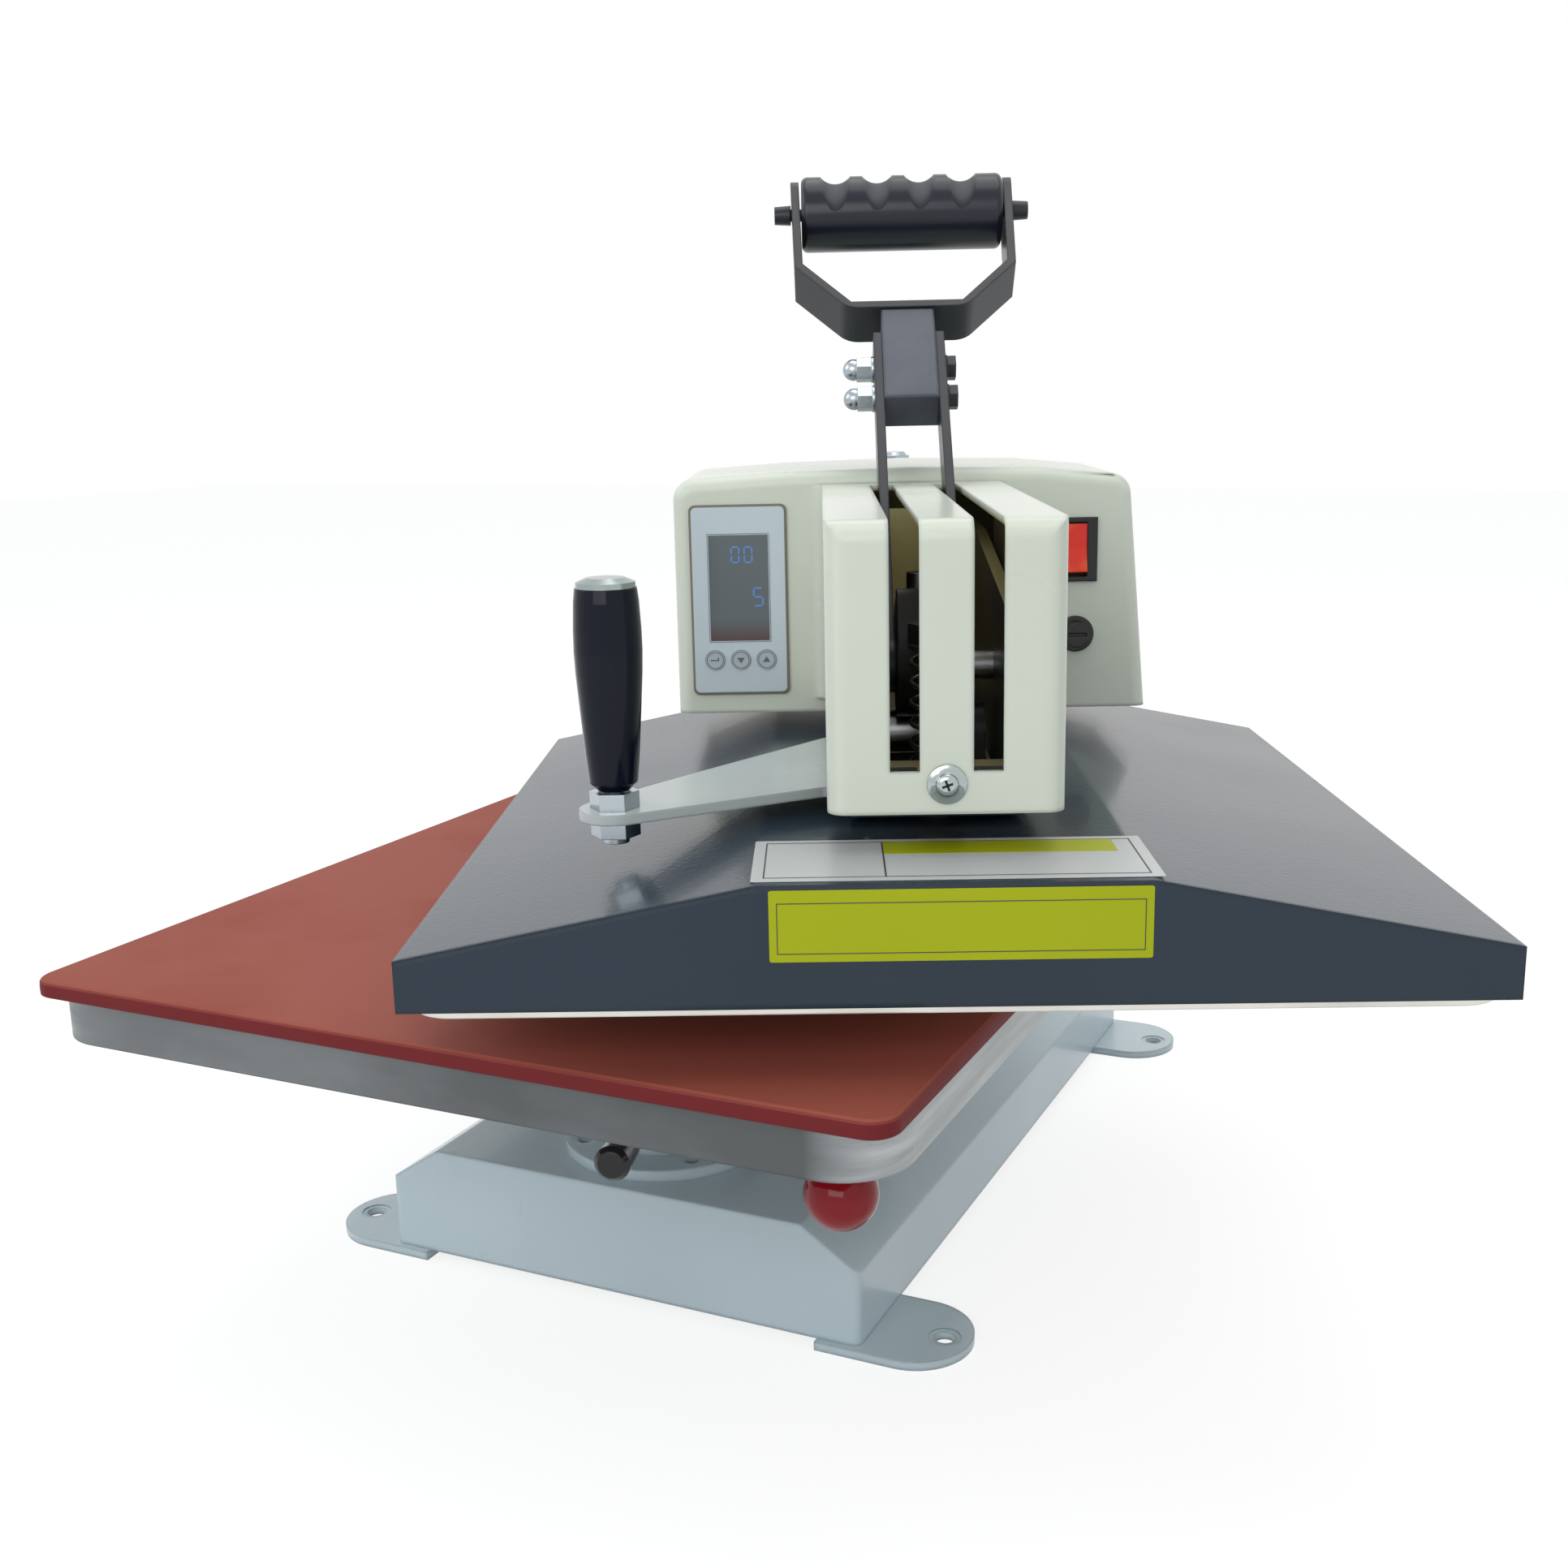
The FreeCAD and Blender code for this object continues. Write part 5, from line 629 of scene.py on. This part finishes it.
def recess_shade_bars(work):
    """Two dark bars that paint the shade in the screw's cross recess."""
    bar = Matrix.Translation((0, 0, 0.0032)) @ Matrix.Diagonal((0.0040, 0.0009, 0.0001, 1))
    for turn in (20, 110):
        matrix = Matrix.Rotation(math.radians(turn), 4, "Z") @ bar
        bmesh.ops.create_cube(work, size=1, matrix=matrix)


# Painted shade: dark bars on the screw's head stand for its shaded cross recess.
piece_from(recess_shade_bars, "nose_screw_recess_shade", black_oxide, "head", screw_place)

# Back plate: painted sheet that closes the control box, held along its upper
# and lower edge by rows of small pan-head screws with a slot.
plate_paint = finish("plate_paint", (0.50, 0.47, 0.33), (0.46, 0.43, 0.30), 0.40, bump=0.08,
                     edge=0.0006)
dress(plate_paint, "box_back")
screw_row, row_in, row_out = geometry_tree(
    "screw_row", [("Screws", "Int"), ("First", "Vector"), ("Step", "Vector"),
                  ("Turn", "Rotation"), ("Radius", "Float"), ("Height", "Float")])
dome = screw_row.nodes.new("GeometryNodeMeshUVSphere")
dome.inputs["Segments"].default_value = 20
dome.inputs["Rings"].default_value = 10
screw_row.links.new(row_in.outputs["Radius"], dome.inputs["Radius"])
slot_bar = screw_row.nodes.new("GeometryNodeMeshCube")
bar_size = screw_row.nodes.new("ShaderNodeCombineXYZ")
for axis, radii in (("X", 1.25), ("Y", 0.28), ("Z", 2.04)):
    side = arithmetic(screw_row, "MULTIPLY", row_in.outputs["Radius"], radii)
    screw_row.links.new(side, bar_size.inputs[axis])
screw_row.links.new(bar_size.outputs[0], slot_bar.inputs["Size"])
head_shape = screw_row.nodes.new("GeometryNodeJoinGeometry")
screw_row.links.new(slot_bar.outputs["Mesh"], head_shape.inputs[0])
screw_row.links.new(dome.outputs["Mesh"], head_shape.inputs[0])
line = screw_row.nodes.new("GeometryNodeMeshLine")
row = in_a_row(screw_row, line, head_shape.outputs[0], row_in.outputs["Screws"],
               row_in.outputs["First"], row_in.outputs["Step"])
flat = screw_row.nodes.new("ShaderNodeCombineXYZ")
flat.inputs["X"].default_value = 1.0
flat.inputs["Y"].default_value = 1.0
screw_row.links.new(row_in.outputs["Height"], flat.inputs["Z"])
screw_row.links.new(flat.outputs[0], row.inputs["Scale"])
screw_row.links.new(row_in.outputs["Turn"], row.inputs["Rotation"])
close_tree(screw_row, row_in, row_out, row.outputs[0])
plate_back, row_start, screws_apart = 0.043, -0.1, 0.05
for name, height in (("upper_back_screws", 0.3535), ("lower_back_screws", 0.2565)):
    first = swing @ Vector((row_start, plate_back, height))
    step = (swing @ Vector((row_start + screws_apart, plate_back, height))) - first
    baked(name, screw_row, zinc, "head",
          {"Screws": 5, "First": tuple(first), "Step": tuple(step),
           "Turn": (math.radians(-90), 0.0, swing_angle), "Radius": 0.003, "Height": 0.5})

# Control panel: a silver-white printed film clipped into the front of the box, with a thin dark
# brown-grey rim round it.
film = finish("panel_film", (0.53, 0.61, 0.66), (0.50, 0.58, 0.63), 0.30, bump=0.03, scale=120,
              coat=0.15, edge=0.0006)
dark_rim = finish("panel_dark_rim", (0.20, 0.18, 0.13), (0.16, 0.15, 0.11), 0.6)
dress(film, "control_panel")
front_of_box = swing @ Matrix.Translation((0, -0.072, 0)) @ upright_front
panel_x, panel_z = -81.5, 304.3


def on_box(x, z, out):
    """Place on the front face of the control box, in millimetres."""
    return front_of_box @ Matrix.Translation((x / 1000, z / 1000, out / 1000))


# A thin dark brown-grey rim that edges the film.
dark_rim_half, dark_rim_corner = (0.0231, 0.0451), 0.003
dark_rim_layers = [(0.0, 0.0), (0.0013, 0.0), (0.0015, 0.0003)]
piece_from(rounded_plate(*dark_rim_half, dark_rim_corner, dark_rim_layers), "panel_dark_rim", dark_rim,
           "head", on_box(panel_x, panel_z, out=0.0))

# Screen: a dark acrylic window in a thin printed frame; its top is painted grey as a reflection
# of the bright room, and it goes to a reddish black below. Blue bars light up as plain numbers.
ink = finish("panel_ink", (0.16, 0.18, 0.19), (0.20, 0.22, 0.23), 0.5)
window_half, window_corner, window_z = (0.0140, 0.0250), 0.0006, 310.2
screen_middle, screen_frame_half = (0, 0.0059, 0), (0.0146, 0.0256)
piece_from(lambda work: frame_strips(work, screen_middle, *screen_frame_half, thin_line),
           "screen_frame", ink, "head", on_box(panel_x, panel_z, out=2.03))
window = finish("screen_window", (0.075, 0.10, 0.11), (0.115, 0.14, 0.15), 0.14, coat=0.3,
                scale=60, bump=0.01)
tree = window.node_tree
place = tree.nodes.new("ShaderNodeTexCoord")
split = tree.nodes.new("ShaderNodeSeparateXYZ")
tree.links.new(place.outputs["Object"], split.inputs[0])
reddish_black = (0.055, 0.018, 0.018)
# Painted reflection: above this edge the window keeps a grey that stands for the bright room
# reflected in it.
over_base(window, remap(tree, split.outputs["Z"], 0.286, 0.296, 1.0, 0.0), reddish_black)
window_layers = [(0.0, 0.0), (0.0002, 0.0), (0.0003, 0.0001)]
piece_from(rounded_plate(*window_half, window_corner, window_layers), "screen_window", window,
           "head", on_box(panel_x, window_z, out=1.9))

lit = finish("lit_digits", (0.10, 0.20, 0.48), (0.08, 0.17, 0.42), 0.4)
shader = lit.node_tree.nodes["Principled BSDF"]
shader.inputs["Emission Color"].default_value = (0.10, 0.22, 0.62, 1)
shader.inputs["Emission Strength"].default_value = 0.15
LIT_BARS = {"0": "abcdef", "5": "acdfg"}
BARS = {"a": (0, 1, 0), "b": (1, 0.5, 1), "c": (1, -0.5, 1), "d": (0, -1, 0),
        "e": (-1, -0.5, 1), "f": (-1, 0.5, 1), "g": (0, 0, 0)}


def digits(text, x, z, size):
    """Seven-bar numbers; size is half a number's height in millimetres."""
    bar_long, bar_wide, step = 0.80 * size / 1000, 0.22 * size / 1000, 1.7 * size

    def make(work):
        for place, letter in enumerate(text):
            for bar in LIT_BARS[letter]:
                across, up, standing = BARS[bar]
                spot = Vector((place * step + across * 0.5 * size, up * size, 0)) / 1000
                sides = (bar_wide, bar_long) if standing else (bar_long, bar_wide)
                strip(work, spot, *sides)
    return piece_from(make, "digits_" + text, lit, "head", on_box(x, z, out=2.27))


digits("00", -83, 326, 3.6)
digits("5", -72.5, 306, 4.2)

# Keys: three round satin caps, each with a printed ring and its own mark, for
# lower, set and raise.
key_cap = finish("key_cap", (0.42, 0.48, 0.52), (0.39, 0.45, 0.49), 0.4)
key_print = finish("key_print", (0.10, 0.12, 0.13), (0.13, 0.15, 0.16), 0.5)
dress(key_cap, "down_button", "set_button", "up_button")
ring_tree, ring_in, ring_out = geometry_tree(
    "printed_ring", [("Centre", "Vector"), ("Turn", "Rotation"), ("Radius", "Float"),
                     ("Line", "Float")])
hoop = swept_ring(ring_tree, ring_in.outputs["Radius"], ring_in.outputs["Line"], 40)
moved = ring_tree.nodes.new("GeometryNodeTransform")
ring_tree.links.new(hoop, moved.inputs["Geometry"])
ring_tree.links.new(ring_in.outputs["Centre"], moved.inputs["Translation"])
ring_tree.links.new(ring_in.outputs["Turn"], moved.inputs["Rotation"])
close_tree(ring_tree, ring_in, ring_out, moved.outputs[0])


def mark(corners):
    """Maker of a flat printed mark; corners run anticlockwise, in millimetres."""
    def make(work):
        close_rings(work, [[work.verts.new((x / 1000, y / 1000, height)) for x, y in corners]
                           for height in (0.0, 0.0001)])
    return make


keys_apart, key_z = 12.3, 276
BAR_MARK = [(-2.2, 0.3), (1.3, 0.3), (1.3, 1.5), (1.9, 1.5), (1.9, -0.3), (-2.2, -0.3)]
KEY_MARKS = {"down": (-keys_apart, BAR_MARK),
             "set": (0, [(-1.8, 1.1), (0, -1.6), (1.8, 1.1)]),
             "up": (keys_apart, [(-1.8, -1.1), (1.8, -1.1), (0, 1.6)])}
for key, (offset, corners) in KEY_MARKS.items():
    key_place = on_box(panel_x + offset, key_z, out=3.02)
    piece_from(mark(corners), key + "_mark", key_print, key, key_place)
    baked(key + "_ring", ring_tree, key_print, key,
          {"Centre": tuple(key_place.translation), "Turn": (math.radians(90), 0.0, swing_angle),
           "Radius": 0.0039, "Line": 0.00018})

# Power switch with a lit red rocker, the fuse holder below it, the inlet at
# the back and the board behind the panel: bought parts, moulded and pressed in.
lens = finish("red_lens", (0.42, 0.010, 0.004), (0.50, 0.020, 0.006), 0.15, coat=0.2, scale=90,
              specular=0.3)
tree = lens.node_tree
shader = tree.nodes["Principled BSDF"]
glow = remap(tree, noise(tree, 70.0, 1.0), 0.45, 0.62)
tree.links.new(mix(tree, glow, (0.9, 0.02, 0.0), (1.0, 0.22, 0.02)),
               shader.inputs["Emission Color"])
shader.inputs["Emission Strength"].default_value = 0.25
dress(lens, "power_rocker")
dress(black_gloss, "switch_body", "fuse_holder", "fuse_cap", "power_inlet")
board = finish("green_board", (0.02, 0.11, 0.05), (0.03, 0.14, 0.06), 0.4)
dress(board, "control_board")

# Lever: two flat bars clamped in a machined block, black painted, with bright
# dome nuts on the pivot pin; the block is sprayed in speckled blue-grey.
lever_paint = finish("lever_paint", (0.014, 0.017, 0.022), (0.034, 0.038, 0.046), 0.34,
                     effect_group=grit, bump=0.12, depth=0.0003, specular=0.3, edge=0.0012)
speckle = finish("speckled_paint", (0.045, 0.052, 0.070), (0.110, 0.120, 0.150), 0.42,
                 effect_group=grit, scale=1500, bump=0.16, depth=0.0003, specular=0.3,
                 edge=0.0012)
dress(lever_paint, "lever_bars", "lever_yoke", "grip_bolts", "lever_screws")
dress(speckle, "lever_block")
dress(zinc, "dome_nuts")

# Lever grip: a round black moulding between the arms of the yoke, with four finger hollows that
# are matt; they are painted paler grey as the sheen of the light from above on them, and its ribs
# are polished.
grip_skin = finish("grip_skin", (0.009, 0.012, 0.021), (0.014, 0.017, 0.028), 0.28,
                   effect_group=grit, bump=0.10, specular=0.35, edge=0.0008)
tree = grip_skin.node_tree
shader = tree.nodes["Principled BSDF"]
polished_rough = shader.inputs["Roughness"].links[0].from_socket
grip_low, grip_high = (Vector(corner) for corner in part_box("lever_grip"))
flatten = tree.nodes.new("ShaderNodeVectorMath")
flatten.operation = "MULTIPLY"
flatten.inputs[1].default_value = (0, 1, 1)
reach = tree.nodes.new("ShaderNodeVectorMath")
reach.operation = "LENGTH"
tree.links.new(turned_place(tree, (grip_low + grip_high) / 2), flatten.inputs[0])
tree.links.new(flatten.outputs[0], reach.inputs[0])
hollow = remap(tree, reach.outputs["Value"], 0.0160, 0.0178, 1.0, 0.0)
hollow_sheen_grey, matt_rough = (0.050, 0.054, 0.062), 0.6
# Painted sheen: the hollows are painted paler grey where they catch the light from above.
over_base(grip_skin, hollow, hollow_sheen_grey)
blend = tree.nodes.new("ShaderNodeMix")
tree.links.new(hollow, blend.inputs[0])
tree.links.new(polished_rough, blend.inputs[2])
blend.inputs[3].default_value = matt_rough
tree.links.new(blend.outputs[0], shader.inputs["Roughness"])
dress(grip_skin, "lever_grip")

# Swing handle: a tongue of painted plate bolted under the arm, and a stud with
# two plated nuts on which a glossy navy-black grip turns under a bright cap.
tongue_paint = finish("tongue_paint", (0.46, 0.50, 0.50), (0.42, 0.46, 0.46), 0.30, bump=0.10,
                      coat=0.1, specular=0.4, edge=0.0012)
navy_gloss = finish("navy_gloss", (0.004, 0.006, 0.014), (0.006, 0.008, 0.017), 0.10, coat=0.05,
                    bump=0.03, specular=0.15, edge=0.0010)
dress(tongue_paint, "swing_plate")
dress(zinc, "swing_fasteners", "swing_stud")
dress(navy_gloss, "swing_grip")
dress(bright, "grip_cap")

# Camera at the photograph's place and angle.
lens_mm, sensor_mm = 39.81, 36.0
heading, pitch, roll = math.radians(-25.43), math.radians(12.76), math.radians(-1.23)
camera_at = Vector((0.3822, -0.8230, 0.4008))
forward = Vector((math.sin(heading) * math.cos(pitch), math.cos(heading) * math.cos(pitch),
                  -math.sin(pitch)))
level = Vector((math.cos(heading), -math.sin(heading), 0))
upward = level.cross(forward)
right = level * math.cos(roll) + upward * math.sin(roll)
above = -level * math.sin(roll) + upward * math.cos(roll)
camera_data = bpy.data.cameras.new("camera")
camera_data.lens = lens_mm
camera_data.sensor_width = sensor_mm
camera_data.clip_start = 0.01
camera = bpy.data.objects.new("camera", camera_data)
columns = Matrix((right, above, -forward)).transposed().to_4x4()
camera.matrix_world = Matrix.Translation(camera_at) @ columns
bpy.context.scene.collection.objects.link(camera)
bpy.context.scene.camera = camera


# Floor: a plain pale sheet. The camera, gloss and glass see it as white with
# the press's soft shadow on it; it lights the press as a matt surface.
def seen_directly(tree):
    """Mask of the rays that see a surface itself: camera, glossy and glass rays."""
    ways = tree.nodes.new("ShaderNodeLightPath")
    first = arithmetic(tree, "MAXIMUM", ways.outputs["Is Camera Ray"],
                       ways.outputs["Is Glossy Ray"])
    return arithmetic(tree, "MAXIMUM", first, ways.outputs["Is Transmission Ray"])


def choose_by_ray(tree, out, lighting, seen):
    """Ends a tree: one shader lights the press, the other is what is seen."""
    choose = tree.nodes.new("ShaderNodeMixShader")
    tree.links.new(seen_directly(tree), choose.inputs[0])
    tree.links.new(lighting.outputs[0], choose.inputs[1])
    tree.links.new(seen.outputs[0], choose.inputs[2])
    tree.links.new(choose.outputs[0], out.inputs[0])


floor_paint = bpy.data.materials.new("floor_paper")
floor_paint.use_nodes = True
tree = floor_paint.node_tree
tree.nodes.clear()
out = tree.nodes.new("ShaderNodeOutputMaterial")
matt = tree.nodes.new("ShaderNodeBsdfDiffuse")
matt.inputs["Color"].default_value = (0.62, 0.63, 0.64, 1)
faint = tree.nodes.new("ShaderNodeBsdfDiffuse")
faint.inputs["Color"].default_value = (0.26, 0.26, 0.26, 1)
white = tree.nodes.new("ShaderNodeEmission")
white.inputs["Strength"].default_value = 0.80
both = tree.nodes.new("ShaderNodeAddShader")
tree.links.new(faint.outputs[0], both.inputs[0])
tree.links.new(white.outputs[0], both.inputs[1])
choose_by_ray(tree, out, matt, both)
half = 6
floor_mesh = bpy.data.meshes.new("floor")
floor_mesh.from_pydata([(-half, -half, 0), (half, -half, 0), (half, half, 0), (-half, half, 0)],
                       [], [(0, 1, 2, 3)])
floor_mesh.materials.append(floor_paint)
floor = bpy.data.objects.new("floor", floor_mesh)
bpy.context.scene.collection.objects.link(floor)

# Light: a bright plain room, a soft light above, one at the left and one
# beside the camera. Seen directly or in gloss, the room is white.
world = bpy.data.worlds.new("room")
bpy.context.scene.world = world
world.use_nodes = True
tree = world.node_tree
tree.nodes.clear()
out = tree.nodes.new("ShaderNodeOutputWorld")
plain = tree.nodes.new("ShaderNodeBackground")
plain.inputs["Color"].default_value = (1, 1, 1, 1)
plain.inputs["Strength"].default_value = 1.0
room = tree.nodes.new("ShaderNodeBackground")
room.inputs["Strength"].default_value = 0.76
ramp = tree.nodes.new("ShaderNodeValToRGB")
ramp.color_ramp.elements[0].position = 0.0
ramp.color_ramp.elements[0].color = (0.45, 0.47, 0.49, 1)
ramp.color_ramp.elements[1].position = 1.0
ramp.color_ramp.elements[1].color = (0.97, 0.99, 1.0, 1)
middle = ramp.color_ramp.elements.new(0.5)
middle.color = (0.74, 0.78, 0.81, 1)
place = tree.nodes.new("ShaderNodeTexCoord")
split = tree.nodes.new("ShaderNodeSeparateXYZ")
tree.links.new(place.outputs["Generated"], split.inputs[0])
tree.links.new(remap(tree, split.outputs["Z"], -1, 1), ramp.inputs[0])
tree.links.new(ramp.outputs[0], room.inputs["Color"])
choose_by_ray(tree, out, room, plain)


def area_light(name, place, aim, size, watts, tint=(1, 1, 1)):
    """Soft rectangular lamp that looks at a point."""
    lamp = bpy.data.lights.new(name, "AREA")
    lamp.shape = "RECTANGLE"
    lamp.size, lamp.size_y = size
    lamp.energy = watts
    lamp.color = tint
    thing = bpy.data.objects.new(name, lamp)
    thing.location = place
    thing.rotation_euler = (Vector(aim) - Vector(place)).to_track_quat("-Z", "Y").to_euler()
    bpy.context.scene.collection.objects.link(thing)


area_light("ceiling", place=(0.1, 0.2, 2.2), aim=(0.0, -0.1, 0.2), size=(1.8, 1.4), watts=14,
           tint=(1.0, 0.99, 0.96))
area_light("window", place=(-1.6, -1.0, 1.3), aim=(0.0, -0.1, 0.25), size=(1.2, 1.2), watts=9,
           tint=(0.93, 0.97, 1.0))
area_light("front", place=(0.3, -2.0, 1.0), aim=(0.05, -0.1, 0.2), size=(1.6, 1.0), watts=13)
bpy.context.scene.view_settings.view_transform = "Standard"
